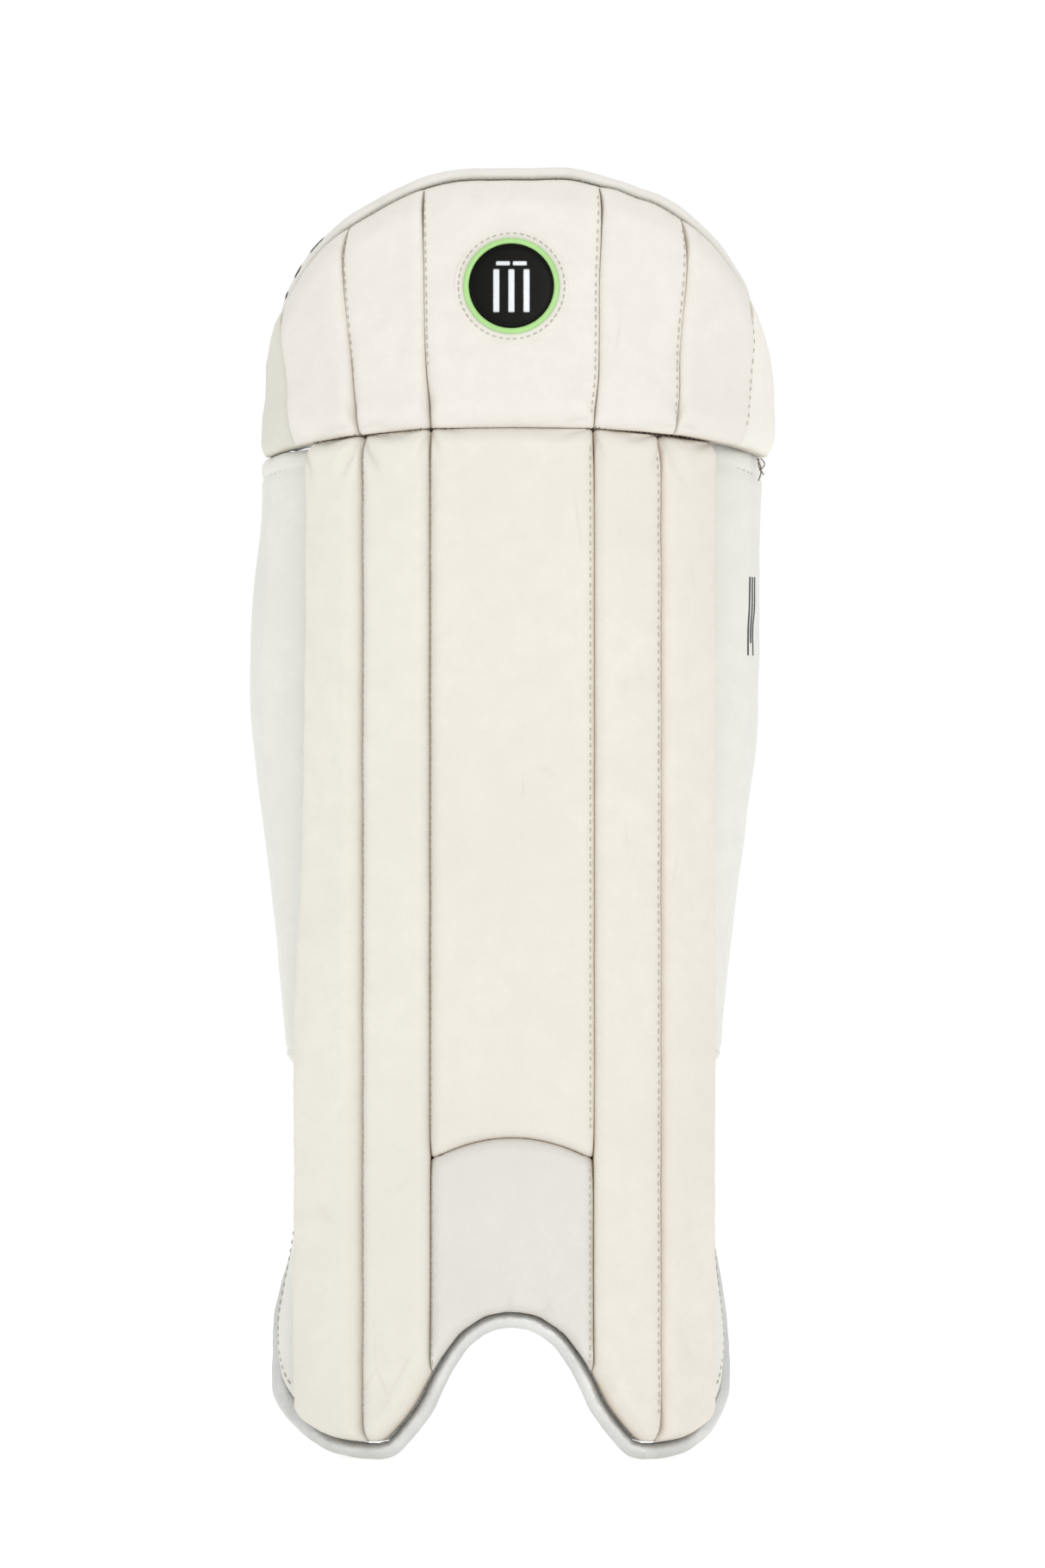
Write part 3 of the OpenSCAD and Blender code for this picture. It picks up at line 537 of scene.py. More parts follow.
def knit(name, colour, hole=(186, 184, 178), pitch=2.4):
    """Spacer-mesh lining: rows of small round eyelets in a knitted face."""
    m, nt, b = base_material(name, spec=0.2, sheen=0.4, sheen_rough=0.5)
    vu = mapped(nt, uv=True)
    sep = nt.nodes.new("ShaderNodeSeparateXYZ"); nt.links.new(vu, sep.inputs[0])
    k = 2 * math.pi / (pitch / 1000)
    a = mathn(nt, "COSINE", mathn(nt, "MULTIPLY", sep.outputs[0], k))
    c = mathn(nt, "COSINE", mathn(nt, "MULTIPLY", mathn(nt, "MULTIPLY_ADD", sep.outputs[0], 0.5, mathn(nt, "MULTIPLY", sep.outputs[1], 0.866)), k))
    d = mathn(nt, "COSINE", mathn(nt, "MULTIPLY", mathn(nt, "MULTIPLY_ADD", sep.outputs[0], -0.5, mathn(nt, "MULTIPLY", sep.outputs[1], 0.866)), k))
    e = mathn(nt, "ADD", mathn(nt, "ADD", a, c), d)
    eye = ramp(nt, [(0.0, (1, 1, 1, 1)), (0.42, (1, 1, 1, 1)), (0.62, (0, 0, 0, 1))], mathn(nt, "MULTIPLY_ADD", e, 0.3333, 0.0, clamp=True)).outputs[0]
    fuzz = noise(nt, mapped(nt), 700.0, 3.0, 0.6)
    drift = noise(nt, mapped(nt), 14.0, 3.0)
    face = ramp(nt, [(0.3, lin(tuple(q * 0.93 for q in colour))), (0.7, lin(colour))], mathn(nt, "MULTIPLY_ADD", fuzz, 0.5, mathn(nt, "MULTIPLY", drift, 0.5))).outputs[0]
    base = mixc(nt, eye, lin(hole), face)
    nt.links.new(base, b.inputs["Base Color"])
    n1 = bump(nt, b, eye, 0.6, 0.0005)
    bump(nt, b, fuzz, 0.35, 0.0003, n1)
    nt.links.new(mathn(nt, "MULTIPLY_ADD", fuzz, 0.15, 0.78), b.inputs["Roughness"])
    return m


def fuzzy(name, colour):
    """Hook-and-loop face: a dense nap of tiny loops."""
    m, nt, b = base_material(name, spec=0.15, sheen=0.8, sheen_rough=0.6)
    v = mapped(nt)
    f = noise(nt, v, 1100.0, 4.0, 0.7, 1.5)
    g = voronoi(nt, v, 900.0, "F1")
    h = mathn(nt, "MULTIPLY_ADD", f, 0.6, mathn(nt, "MULTIPLY", g, 0.4))
    base = ramp(nt, [(0.25, lin(tuple(q * 0.72 for q in colour))), (0.6, lin(colour))], h).outputs[0]
    nt.links.new(base, b.inputs["Base Color"])
    bump(nt, b, h, 0.8, 0.0007)
    nt.links.new(mathn(nt, "MULTIPLY_ADD", f, 0.1, 0.85), b.inputs["Roughness"])
    return m


def thread(name, colour, rough=0.6):
    m, nt, b = base_material(name, spec=0.3, sheen=0.2)
    v = mapped(nt, scale=(1, 1, 1))
    n = noise(nt, v, 1500.0, 2.0, 0.6)
    w = nt.nodes.new("ShaderNodeTexWave"); w.inputs["Scale"].default_value = 380.0; w.inputs["Distortion"].default_value = 1.0
    w.bands_direction = "DIAGONAL"
    nt.links.new(v, w.inputs["Vector"])
    base = ramp(nt, [(0.2, lin(tuple(q * 0.78 for q in colour))), (0.8, lin(colour))], mathn(nt, "MULTIPLY_ADD", n, 0.6, mathn(nt, "MULTIPLY", w.outputs["Fac"], 0.4))).outputs[0]
    nt.links.new(base, b.inputs["Base Color"])
    bump(nt, b, w.outputs["Fac"], 0.5, 0.0002)
    nt.links.new(mathn(nt, "MULTIPLY_ADD", n, 0.15, rough), b.inputs["Roughness"])
    return m


def plastic(name, colour, rough=0.25, coat=0.6, drift=0.06, metal=0.0, scale=40.0, spec=0.5):
    m, nt, b = base_material(name, spec=spec, coat=coat, coat_rough=0.08, metal=metal)
    v = mapped(nt)
    n = noise(nt, v, scale, 4.0, 0.6)
    base = ramp(nt, [(0.3, lin(tuple(q * (1 - drift) for q in colour))), (0.7, lin(tuple(min(255, q * (1 + drift)) for q in colour)))], n).outputs[0]
    nt.links.new(base, b.inputs["Base Color"])
    nt.links.new(mathn(nt, "MULTIPLY_ADD", noise(nt, v, 260.0, 3.0), 0.14, rough), b.inputs["Roughness"])
    bump(nt, b, noise(nt, v, 700.0, 3.0), 0.05, 0.0004)
    return m


def cane_mat(name):
    m, nt, b = base_material(name, spec=0.4, coat=0.15, coat_rough=0.3)
    v = mapped(nt, scale=(1, 1, 0.06))
    n = noise(nt, v, 900.0, 5.0, 0.7)
    ring = noise(nt, mapped(nt, scale=(0.05, 0.05, 1)), 22.0, 2.0)
    base = ramp(nt, [(0.25, lin((166, 128, 74))), (0.55, lin((206, 172, 116))), (0.85, lin((226, 198, 148)))], n).outputs[0]
    base = mixc(nt, ramp(nt, [(0.6, (0, 0, 0, 1)), (0.66, (0.5, 0.5, 0.5, 1))], ring).outputs[0], base, lin((140, 104, 62)))
    nt.links.new(base, b.inputs["Base Color"])
    bump(nt, b, n, 0.4, 0.0004)
    nt.links.new(mathn(nt, "MULTIPLY_ADD", n, 0.2, 0.35), b.inputs["Roughness"])
    return m


def canvas(name, colour, pitch=0.0009):
    m, nt, b = base_material(name, spec=0.2, sheen=0.25)
    v = mapped(nt)
    sep = nt.nodes.new("ShaderNodeSeparateXYZ"); nt.links.new(v, sep.inputs[0])
    k = 2 * math.pi / pitch
    a = mathn(nt, "SINE", mathn(nt, "MULTIPLY", mathn(nt, "ADD", sep.outputs[0], sep.outputs[1]), k))
    c = mathn(nt, "SINE", mathn(nt, "MULTIPLY", sep.outputs[2], k))
    w = mathn(nt, "MULTIPLY", a, c)
    n = noise(nt, v, 300.0, 4.0)
    base = ramp(nt, [(0.2, lin(tuple(q * 0.8 for q in colour))), (0.8, lin(colour))], mathn(nt, "MULTIPLY_ADD", w, 0.2, n)).outputs[0]
    nt.links.new(base, b.inputs["Base Color"])
    bump(nt, b, w, 0.5, 0.0003)
    nt.links.new(mathn(nt, "MULTIPLY_ADD", n, 0.15, 0.78), b.inputs["Roughness"])
    return m


# the right-hand roll leather has a lighter painted groove shade than the left: one leather shaded differently by side
M_ROLL = leather("roll_leather", (240, 235, 225), (198, 178, 150))
M_ROLL_OUT = leather("roll_leather_outer", (240, 236, 225), (198, 178, 150))
M_ROLL_R = leather("roll_leather_right", (240, 234, 224), (206, 184, 154))
M_FLAP = leather("flap_leather_white", (242, 237, 229), (214, 198, 174), crease=0.28, groove_shade_amount=0.4)
# one edge leather in two copies: the left painted darker (painted shade), the right painted lighter (painted light)
M_EDGE_L_SHADED = leather("flap_edge_leather_left", (231, 229, 217), (190, 178, 154), crease=0.28, groove_shade_amount=0.45)
M_EDGE_R_LIT = leather("flap_edge_leather", (249, 245, 236), (206, 192, 168), crease=0.28, groove_shade_amount=0.4)
M_INSTEP = leather("instep_leather_grey", (233, 230, 223), (196, 182, 158), grain=0.3)
M_WING = leather("wing_leather_cool", (240, 240, 232), (176, 162, 138), crease=0.3)
M_BIND = leather("binding_leather_white", (240, 237, 230), (170, 150, 124), grain=0.18, crease=0.2)
M_STRAPL = leather("strap_leather", (234, 230, 222), (150, 130, 104), grain=0.2, crease=0.25)
M_GUSSET = leather("gusset_cloth", (206, 196, 178), (120, 98, 72), grain=0.25, crease=0.3, groove_shade_amount=0.3)
M_SILVER = silver_leather("silver_leather")
M_WEB = webbing("strap_webbing_white", (236, 234, 228))
M_MESH = knit("lining_mesh", (232, 232, 228))
M_CUSH = knit("cushion_mesh", (226, 227, 225), (170, 170, 168), 3.2)
M_LOOP = fuzzy("loop_tape", (226, 226, 222))
M_HOOK = fuzzy("hook_tape", (206, 206, 202))
M_THREAD = thread("white_thread", (226, 218, 202))
M_DARK = thread("dark_thread", (128, 116, 102), 0.7)
M_PRINT = plastic("dark_print", (40, 40, 44), 0.45, 0.0, 0.12)
M_LIME = plastic("badge_rim_lime", (176, 226, 140), 0.3, 0.5, 0.03)
M_BLACK = plastic("badge_black", (9, 8, 6), 0.24, 0.0, 0.2, spec=0.1)
M_CHROME = plastic("badge_silver", (214, 217, 220), 0.22, 0.3, 0.03, metal=0.85)
M_CANE = cane_mat("cane")
M_BOARD = canvas("backing_canvas", (214, 208, 194))


# ---------------------------------------------------------------- stitches
def stitches(name, P, N, pitch=4.3, length=2.9, r=0.42, lift=0.12, body="shin", mat=None, seed=1, jitter=0.12, arch=0.25, across=None, flat_scale=1.0):
    """Separate thread stitches along the path P with surface normals N (design mm). across turns each one to that direction."""
    P = np.asarray(P, float); N = unit(np.broadcast_to(np.asarray(N, float), P.shape))
    s = np.concatenate([[0], np.cumsum(np.linalg.norm(np.diff(P, axis=0), axis=1))])
    k = max(1, int(s[-1] / pitch))
    rng = np.random.default_rng(seed)
    T = tangents(P)
    V, F = [], []
    nr, ns = 6, 6
    for i in range(k):
        t = (i + 0.5) * s[-1] / k + rng.normal(0, jitter) * pitch * 0.5
        L = length * (1 + rng.normal(0, jitter))
        c = np.array([np.interp(t, s, P[:, q]) for q in range(3)])
        n = unit(np.array([np.interp(t, s, N[:, q]) for q in range(3)]))
        if across is None:
            a = np.array([np.interp(t - L / 2, s, P[:, q]) for q in range(3)])
            b = np.array([np.interp(t + L / 2, s, P[:, q]) for q in range(3)])
            d = b - a
            if np.linalg.norm(d) < 1e-6:
                continue
            d = unit(d)
        else:
            d = unit(np.asarray(across, float) + rng.normal(0, 0.22, 3) * np.array([1, 0.2, 0.3]))
        side = unit(np.cross(d, n))
        up = unit(np.cross(side, d))
        o = len(V)
        for q in range(nr):
            f = q / (nr - 1)
            x = (f - 0.5) * L
            rr = r * math.sqrt(max(0.02, 1 - (2 * f - 1) ** 4 * 0.96))
            zc = lift + arch * (1 - (2 * f - 1) ** 2)
            for j in range(ns):
                a_ = 2 * math.pi * j / ns
                V.append(c + d * x + up * (zc + rr * math.sin(a_) * flat_scale) + side * rr * math.cos(a_))
        for q in range(nr - 1):
            for j in range(ns):
                F.append([o + q * ns + j, o + q * ns + (j + 1) % ns, o + (q + 1) * ns + (j + 1) % ns, o + (q + 1) * ns + j])
        F.append([o + j for j in range(ns - 1, -1, -1)])
        F.append([o + (nr - 1) * ns + j for j in range(ns)])
    ob = new_object(name, to_world(np.array(V)), F, None, None, True, (mat or M_THREAD,))
    if body:
        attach(ob, body)
    return ob


# ---------------------------------------------------------------- stuffed panels
PAN = [(-S1, S1, -S1, S1, 0, 0), (S1, S2, S1, S2, 0, Y2), (S2, S3, S2, S3, Y2, Y3), (-S1, S1, -S1, S1, 0, 0),
       (-39, 39, -41, 41, 0, 0), (39, 69.5, 41, 78, 0, 11), (69.5, 99, 78, 107, 11, 36.5), (99, 115.5, 107, 113.5, 36.5, 68)]


FOLD = [math.atan2(p[5] - p[4], p[1] - p[0]) for p in PAN]


class Panel:
    def __init__(self, k, h, mirror=False, Rs=5.5, Rb=7.5, Rt=7.5, crown=1.3, corner_t=5.0, corner_b=2.0, seed=1,
                 fans=(), creases=(), slits=(), pucker=0.16, wobble=0.25, outer_r=None, ml=0.45, mr=0.45, mb=0.3, mt=0.3, ps=0.8):
        self.k, self.h, self.mirror = k, h, mirror
        self.Rs, self.Rb, self.Rt, self.crown = Rs, Rb, Rt, crown
        self.ct, self.cb, self.seed = corner_t, corner_b, seed
        self.fans, self.creases, self.slits = fans, creases, slits
        self.pucker, self.wobble = pucker, wobble
        self.outer_r = outer_r or Rs
        self.il, self.ir = 0.06, (0.25 if k == 2 else -1.8 if k == 7 else 0.06)
        self.ml, self.mr, self.mb, self.mt, self.ps = ml, mr, mb, mt, ps
        self.gb = 0.48 if k in (0, 4, 5, 6) else 0.6 if k == 7 else -0.2      # how far a panel reaches into the sewn gap below or above it
        self.gt = 0.48 if k in (0, 1, 2) else 0.35 if k == 3 else 1.4 if k == 7 else -0.2
        p = PAN[k]
        t = np.array([p[1] - p[0], p[5] - p[4]], float); t /= np.linalg.norm(t)
        self.n = np.array([t[1], -t[0], 0.0])
        self.side = np.array([t[0], t[1], 0.0])
        a, b = {0: (FOLD[1], FOLD[1]), 3: (FOLD[1], FOLD[1]), 4: (FOLD[5], FOLD[5]), 1: (FOLD[1], FOLD[2] - FOLD[1]), 2: (FOLD[2] - FOLD[1], 0),
                5: (FOLD[5], FOLD[6] - FOLD[5]), 6: (FOLD[6] - FOLD[5], FOLD[7] - FOLD[6]), 7: (FOLD[7] - FOLD[6], 0)}[k]
        self.tl, self.tr = math.tan(a / 2), math.tan(b / 2)      # lean of the two side walls, so that neighbours meet along the fold
        self.wb = math.hypot(p[1] - p[0], p[5] - p[4]); self.wt = math.hypot(p[3] - p[2], p[5] - p[4])

    def ends(self, u):
        p, k = PAN[self.k], self.k
        xb = mixf(p[0], p[1], u); xt = mixf(p[2], p[3], u)
        zb = z_arc(xb) + 0.55 if k == 0 else z_low(xb) if k <= 3 else z_seam(xb) + 0.6
        zt = z_arc(xt) - 0.5 if k == 3 else z_seam(xt) - 0.6 if k <= 2 else z_top(xt)
        W = 0.5 * (self.wb + self.wt)
        du = np.minimum(u, 1 - u) * W
        def corner(r):
            if r <= 0:
                return 0 * u
            q = np.clip(r - du, 0, r)
            return r - np.sqrt(np.maximum(r * r - q * q, 0))
        reach = 0.5 * np.clip((xb - 99) / 16, 0, 1) if k == 7 else 0.0
        return xb, xt, zb + corner(self.cb) - self.gb - reach, zt - corner(self.ct) + self.gt

    def base(self, u, w):
        p = PAN[self.k]
        xb, xt, zb, zt = self.ends(u)
        z = mixf(zb, zt, w)
        return np.stack([mixf(xb, xt, w) + 0 * z, mixf(p[4], p[5], u) + kick(z), z], -1)

    def dist(self, u, w):
        W = mixf(self.wb, self.wt, w)
        e = 1e-3
        xb, xt, zb, zt = self.ends(u)
        _, _, zb2, zt2 = self.ends(np.clip(u + e, 0, 1)); _, _, zb1, zt1 = self.ends(np.clip(u - e, 0, 1))
        sb = (zb2 - zb1) / (2 * e * self.wb); st = (zt2 - zt1) / (2 * e * self.wt)
        H = zt - zb
        return u * W, (1 - u) * W, w * H / np.sqrt(1 + sb ** 2), (1 - w) * H / np.sqrt(1 + st ** 2)

    def height(self, u, w):
        dl, dr, db, dt = self.dist(u, w)
        P = self.base(u, w)
        z = P[..., 2]
        s = dl
        zz_ = P[..., 2]
        ml = self.ml(zz_) if callable(self.ml) else self.ml
        mr = self.mr(zz_) if callable(self.mr) else self.mr
        fl_ = ml + (1 - ml) * puff(dl, self.Rs, self.ps); fr_ = mr + (1 - mr) * puff(dr, self.outer_r, self.ps)
        fb_ = self.mb + (1 - self.mb) * puff(db, self.Rb, 0.75); ft_ = self.mt + (1 - self.mt) * puff(dt, self.Rt, 0.75)
        f = fl_ * fr_ * fb_ * ft_
        self.last_q = np.minimum(np.minimum(dl / 2.2, dr / 2.2), np.minimum(db / 3.0, dt / 3.0))
        c = 1 - np.abs(2 * u - 1) ** 2.2
        h = f * (self.h - self.crown + self.crown * c)
        sd = self.seed
        near = np.exp(-np.minimum(dl, dr) / 4.5)
        nz = np.exp(-np.minimum(db, dt) / 5.0)
        h = h + f * waves(s, z, sd, 46, self.wobble)
        h = h + f * waves(s, z, sd + 50, 15, self.wobble * 0.3)
        h = h + self.pucker * near * f * np.sin(2 * math.pi * z / 6.4 + waves(s, z, sd + 7, 30, 1.6))
        h = h + self.pucker * 1.3 * nz * f * np.sin(2 * math.pi * s / 6.0 + waves(s, z, sd + 9, 26, 1.4))
        for (side, zc, R, A, n, ph) in self.fans:
            s0 = 0.0 if side < 0 else mixf(self.wb, self.wt, w)
            dx, dz = s - s0, z - zc
            r = np.hypot(dx, dz); th = np.arctan2(dz, np.abs(dx) + 1e-6)
            env = np.exp(-((r - 0.42 * R) / (0.38 * R)) ** 2)
            h = h + f ** 0.5 * A * env * (0.35 - 1.35 * np.maximum(0, np.cos(n * th + ph)) ** 3)
        for (s0, z0, s1, z1, A, wd) in self.creases:
            d = np.array([s1 - s0, z1 - z0], float); L2 = (d ** 2).sum()
            t = np.clip(((s - s0) * d[0] + (z - z0) * d[1]) / L2, 0, 1)
            q = np.hypot(s - s0 - t * d[0], z - z0 - t * d[1])
            taper = np.sin(math.pi * np.clip(t, 0.03, 0.97)) ** 0.6
            h = h - f * A * taper * (np.exp(-(q / wd) ** 2) - 0.35 * np.exp(-((q - 2.2 * wd) / (1.3 * wd)) ** 2))
        return FOOT + 0.35 + np.maximum(h, 0), f

    def surf(self, u, w, lift=0.0):
        u = np.asarray(u, float); w = np.asarray(w, float)
        h, _ = self.height(u, w)
        return self.base(u, w) + self.n * (h + lift)[..., None] + self.lean(h + lift, u, w)

    def lean(self, h, u, w):
        dl, dr, _, _ = self.dist(u, w)
        k_ = self.tr * np.clip(1 - dr / 7, 0, 1) ** 2 - self.tl * np.clip(1 - dl / 7, 0, 1) ** 2
        return self.side * (h * k_)[..., None]

    def build(self, name, mat, step=2.0):
        W = 0.5 * (self.wb + self.wt)
        H = np.median(self.ends(np.linspace(0.1, 0.9, 9))[3] - self.ends(np.linspace(0.1, 0.9, 9))[2])
        us = edge_list(W, step); us = mixf(self.il, W - self.ir, us / W) / W
        ws = edge_list(H, step) / H
        U, Wg = np.meshgrid(us, ws)
        h, f = self.height(U, Wg)
        B = self.base(U, Wg)
        A = B + self.n * h[..., None] + self.lean(h, U, Wg)
        Bk = B + self.n * FOOT + self.lean(np.full(U.shape, FOOT), U, Wg)
        dl, dr, db, dt = self.dist(U, Wg)
        uv = np.stack([dl, B[..., 2]], -1)
        # painted shade: the seam mask rises towards every edge of the panel, darkening the leather in the grooves
        q = np.clip(self.last_q, 0, 1)
        ob = tray(name, A, Bk, uv, (1 - q) ** 1.3, self.mirror, full_back=True, mats=(mat,))
        return ob


def fan(side, z, R=18, A=0.9, n=5, ph=0.4):
    return (side, z, R, A * 1.7, n, ph)


zs1, zs2, zs3 = 493.0, 490.3, 487.4
SHIN = {
    "shin_roll_centre": (Panel(0, ROLL, False, seed=11, fans=(fan(-1, zs1, 20, 0.8, 5, 0.2), fan(1, zs1, 22, 0.8, 4.5, 0.9)),
                               creases=((10, 470, 30, 486, 0.35, 1.4), (55, 474, 70, 486, 0.3, 1.2), (20, 172, 42, 160, 0.35, 1.5), (44, 164, 66, 176, 0.25, 1.3)),
                               Rb=7, corner_t=2.4, corner_b=2, ml=0.6, mr=0.7, mb=0.62, mt=0.62, Rs=4.6), M_ROLL, ("shin_cover_centre", "shin_core_centre")),
    "shin_roll_inner_left": (Panel(1, ROLL, True, seed=23, fans=(fan(-1, zs1, 20, 0.9, 5, 0.7), fan(1, zs2, 26, 1.3, 5.5, 0.1)),
                                   creases=((6, 138, 15, 131, 0.4, 1.2), (9, 150, 20, 145, 0.35, 1.2), (14, 20, 25, 32, 0.45, 1.3), (20, 30, 28, 24, 0.4, 1.2), (12, 466, 22, 474, 0.4, 1.3)),
                                   corner_t=2.6, corner_b=2, ml=0.6, mr=0.58, mt=0.62, Rs=4.6), M_ROLL_OUT, ("shin_cover_inner_left", "shin_core_inner_left")),
    "shin_roll_inner_right": (Panel(1, ROLL, False, seed=31, fans=(fan(-1, zs1, 22, 0.9, 4.6, 0.3), fan(1, zs2, 22, 1.0, 5, 0.6)),
                                    creases=((12, 96, 18, 112, 0.25, 1.2), (8, 470, 18, 480, 0.35, 1.3)), corner_t=2.6, ml=0.7, mr=0.74, mt=0.62, Rs=4.6), M_ROLL_R, ("shin_cover_inner_right", "shin_core_inner_right")),
    "shin_roll_outer_left": (Panel(2, ROLL, True, seed=43, fans=(fan(-1, zs2, 26, 1.3, 5.5, 0.5), fan(1, zs3, 22, 1.1, 5, 0.2)),
                                   creases=((6, 458, 16, 470, 0.4, 1.4),), corner_t=3, Rs=4.6, outer_r=4.0, ml=0.56, mr=0.8, mt=0.6), M_ROLL_OUT, ("shin_cover_outer_left", "shin_core_outer_left")),
    "shin_roll_outer_right": (Panel(2, ROLL, False, seed=57, fans=(fan(-1, zs2, 24, 1.1, 5, 0.0), fan(1, zs3, 22, 1.1, 4.5, 0.8)),
                                    creases=((8, 92, 13, 106, 0.3, 1.2), (5, 460, 15, 472, 0.4, 1.4)), corner_t=3, Rs=4.6, outer_r=4.5, ml=0.72, mr=0.76, mt=0.6), M_ROLL_R, ("shin_cover_outer_right", "shin_core_outer_right")),
    "instep_panel": (Panel(3, ROLL - 2, False, seed=61, Rb=6, Rt=6.5, corner_t=2, corner_b=1, ml=0.62, mr=0.68, mt=0.72, Rs=4.6,
                           creases=((37.5, 72.5, 38.5, 81, 1.0, 0.8), (30, 84, 48, 86, 0.25, 1.6))), M_INSTEP, ("instep_cover", "instep_core")),
}
for nm, (pn, mat, reps) in SHIN.items():
    ob = pn.build(nm, mat, 2.0)
    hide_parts(*reps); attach(ob, "shin")

zf = (494.0, 491.0, 487.0)
slit_l = lambda z: 0.82 - 0.24 * np.clip((548 - z) / 42, 0, 1) ** 1.2      # the left seams open toward the knee
FL = {
    "flap_roll_centre": (Panel(4, FLAP, False, Rb=13, Rt=13, seed=71, fans=(fan(-1, zf[0] + 4, 16, 0.5, 4, 0.2), fan(1, zf[0] + 4, 16, 0.5, 4, 0.8)), corner_b=0.9, corner_t=1, crown=0.9, wobble=0.16, ml=slit_l, mr=0.8, mb=0.66, mt=0.34, Rs=4.2), M_FLAP, ("flap_cover_centre", "flap_core_centre")),
    "flap_roll_inner_left": (Panel(5, FLAP, True, Rb=13, Rt=13, seed=73, fans=(fan(1, zf[1] + 4, 18, 0.6, 4, 0.2),), corner_b=0.9, corner_t=1, crown=0.9, wobble=0.18, ml=slit_l, mr=slit_l, mb=0.66, mt=0.34, Rs=4.2), M_FLAP, ("flap_cover_inner_left", "flap_cores_left")),
    "flap_roll_inner_right": (Panel(5, FLAP, False, Rb=13, Rt=13, seed=79, fans=(fan(1, zf[1] + 4, 18, 0.6, 4, 0.6),), corner_b=0.9, corner_t=1, crown=0.9, wobble=0.18, ml=0.8, mr=0.82, mb=0.66, mt=0.34, Rs=4.2), M_FLAP, ("flap_cover_inner_right", "flap_cores_right")),
    "flap_roll_mid_left": (Panel(6, FLAP, True, Rb=12, Rt=13, seed=83, fans=(fan(-1, zf[1] + 4, 18, 0.6, 4, 0.4),), corner_b=0.9, corner_t=1, crown=0.9, wobble=0.18, ml=slit_l, mr=0.62, mb=0.66, mt=0.34, Rs=4.2), M_FLAP, ("flap_cover_mid_left",)),
    "flap_roll_mid_right": (Panel(6, FLAP, False, Rb=12, Rt=13, seed=89, fans=(fan(-1, zf[1] + 4, 18, 0.6, 4, 0.1),), corner_b=0.9, corner_t=1, crown=0.9, wobble=0.18, ml=0.82, mr=0.78, mb=0.66, mt=0.34, Rs=4.2), M_FLAP, ("flap_cover_mid_right",)),
    "flap_roll_edge_left": (Panel(7, FLAP - 4, True, Rb=6, Rt=9, Rs=4.5, seed=97, corner_b=0.6, corner_t=1, wobble=0.18, ml=0.72, mr=0.6, mb=0.62, mt=0.4, crown=0.8), M_EDGE_L_SHADED, ("flap_cover_edge_left",)),
    "flap_roll_edge_right": (Panel(7, FLAP - 4, False, Rb=6, Rt=9, Rs=4.5, seed=101, corner_b=0.6, corner_t=1, wobble=0.18, ml=0.88, mr=0.6, mb=0.62, mt=0.4, crown=0.8), M_EDGE_R_LIT, ("flap_cover_edge_right",)),
}
for nm, (pn, mat, reps) in FL.items():
    ob = pn.build(nm, mat, 1.9)
    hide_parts(*reps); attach(ob, "knee_flap")

# ---------------------------------------------------------------- stitches along the seams
def panel_line(pn, u, w0, w1, h, n=120, off=0.0):
    """Design points h mm above the base of panel pn along its side u, off mm past the seam, and the normals."""
    w = np.linspace(w0, w1, n)
    P = pn.base(np.full(n, float(u)), w)
    t = np.array([pn.n[1] * -1, pn.n[0], 0.0])
    P = P + pn.n * h + t * off * (1 if u > 0.5 else -1)
    if pn.mirror:
        P = P * np.array([-1, 1, 1])
    N = pn.n * (np.array([-1, 1, 1]) if pn.mirror else 1)
    return P, np.tile(N, (n, 1))


sr = {k: v[0] for k, v in SHIN.items()}
fr = {k: v[0] for k, v in FL.items()}


def edge_stitch(name, pn, u, z0, z1, inset, body, seed, pitch=4.0, mat=None, r=0.34):
    """Stitches on the crown edge of a panel, inset mm in from its seam at side u, between two heights."""
    W = 0.5 * (pn.wb + pn.wt)
    uu = inset / W if u == 0 else 1 - inset / W
    w = np.linspace(0.002, 0.998, 240)
    P = pn.surf(np.full(240, uu), w, 0.0)
    k_ = (P[:, 2] > z0) & (P[:, 2] < z1)
    P = P[k_]
    M = np.array([-1, 1, 1]) if pn.mirror else np.array([1, 1, 1])
    side = np.array([-pn.n[1], pn.n[0], 0.0]) * (1 if u else -1)
    N = np.tile(unit(pn.n + 0.55 * side) * M, (len(P), 1))
    stitches(name, P * M, N, pitch, 2.5, r, 0.0, body, mat or M_THREAD, seed, 0.1, 0.22)


edge_stitch("shin_stitch_one_right", sr["shin_roll_centre"], 1, 158, 486, 1.5, "shin", 201)
edge_stitch("instep_stitch_right", sr["instep_panel"], 1, 46, 142, 1.5, "shin", 202)
edge_stitch("shin_stitch_two_right", sr["shin_roll_inner_right"], 1, 22, 482, 1.5, "shin", 203)
edge_stitch("shin_stitch_one_left", sr["shin_roll_centre"], 0, 158, 486, 0.55, "shin", 204, r=0.28)
edge_stitch("instep_stitch_left", sr["instep_panel"], 0, 46, 142, 0.7, "shin", 205, r=0.28)
edge_stitch("shin_stitch_two_left", sr["shin_roll_inner_left"], 1, 22, 482, 0.55, "shin", 206, r=0.28)
edge_stitch("flap_stitch_one_right", fr["flap_roll_centre"], 1, 499, 604, 1.3, "knee_flap", 207)
edge_stitch("flap_stitch_two_right", fr["flap_roll_inner_right"], 1, 499, 586, 1.3, "knee_flap", 208)
edge_stitch("flap_stitch_three_right", fr["flap_roll_mid_right"], 1, 495, 548, 1.3, "knee_flap", 209, r=0.28)
edge_stitch("flap_stitch_one_left", fr["flap_roll_centre"], 0, 522, 604, 0.8, "knee_flap", 210)
edge_stitch("flap_stitch_two_left", fr["flap_roll_inner_left"], 1, 520, 586, 0.8, "knee_flap", 211)

# arch seam between the centre roll and the instep, sewn with dark thread
xx = np.linspace(-36.5, 36.5, 120)
P = np.stack([xx, np.full(120, -8.7) + kick(z_arc(xx)), z_arc(xx)], -1)
stitches("instep_arch_stitches", P, [0, -1, 0.0], 3.7, 2.5, 0.34, 0.0, "shin", M_DARK, 231, 0.14, 0.15)


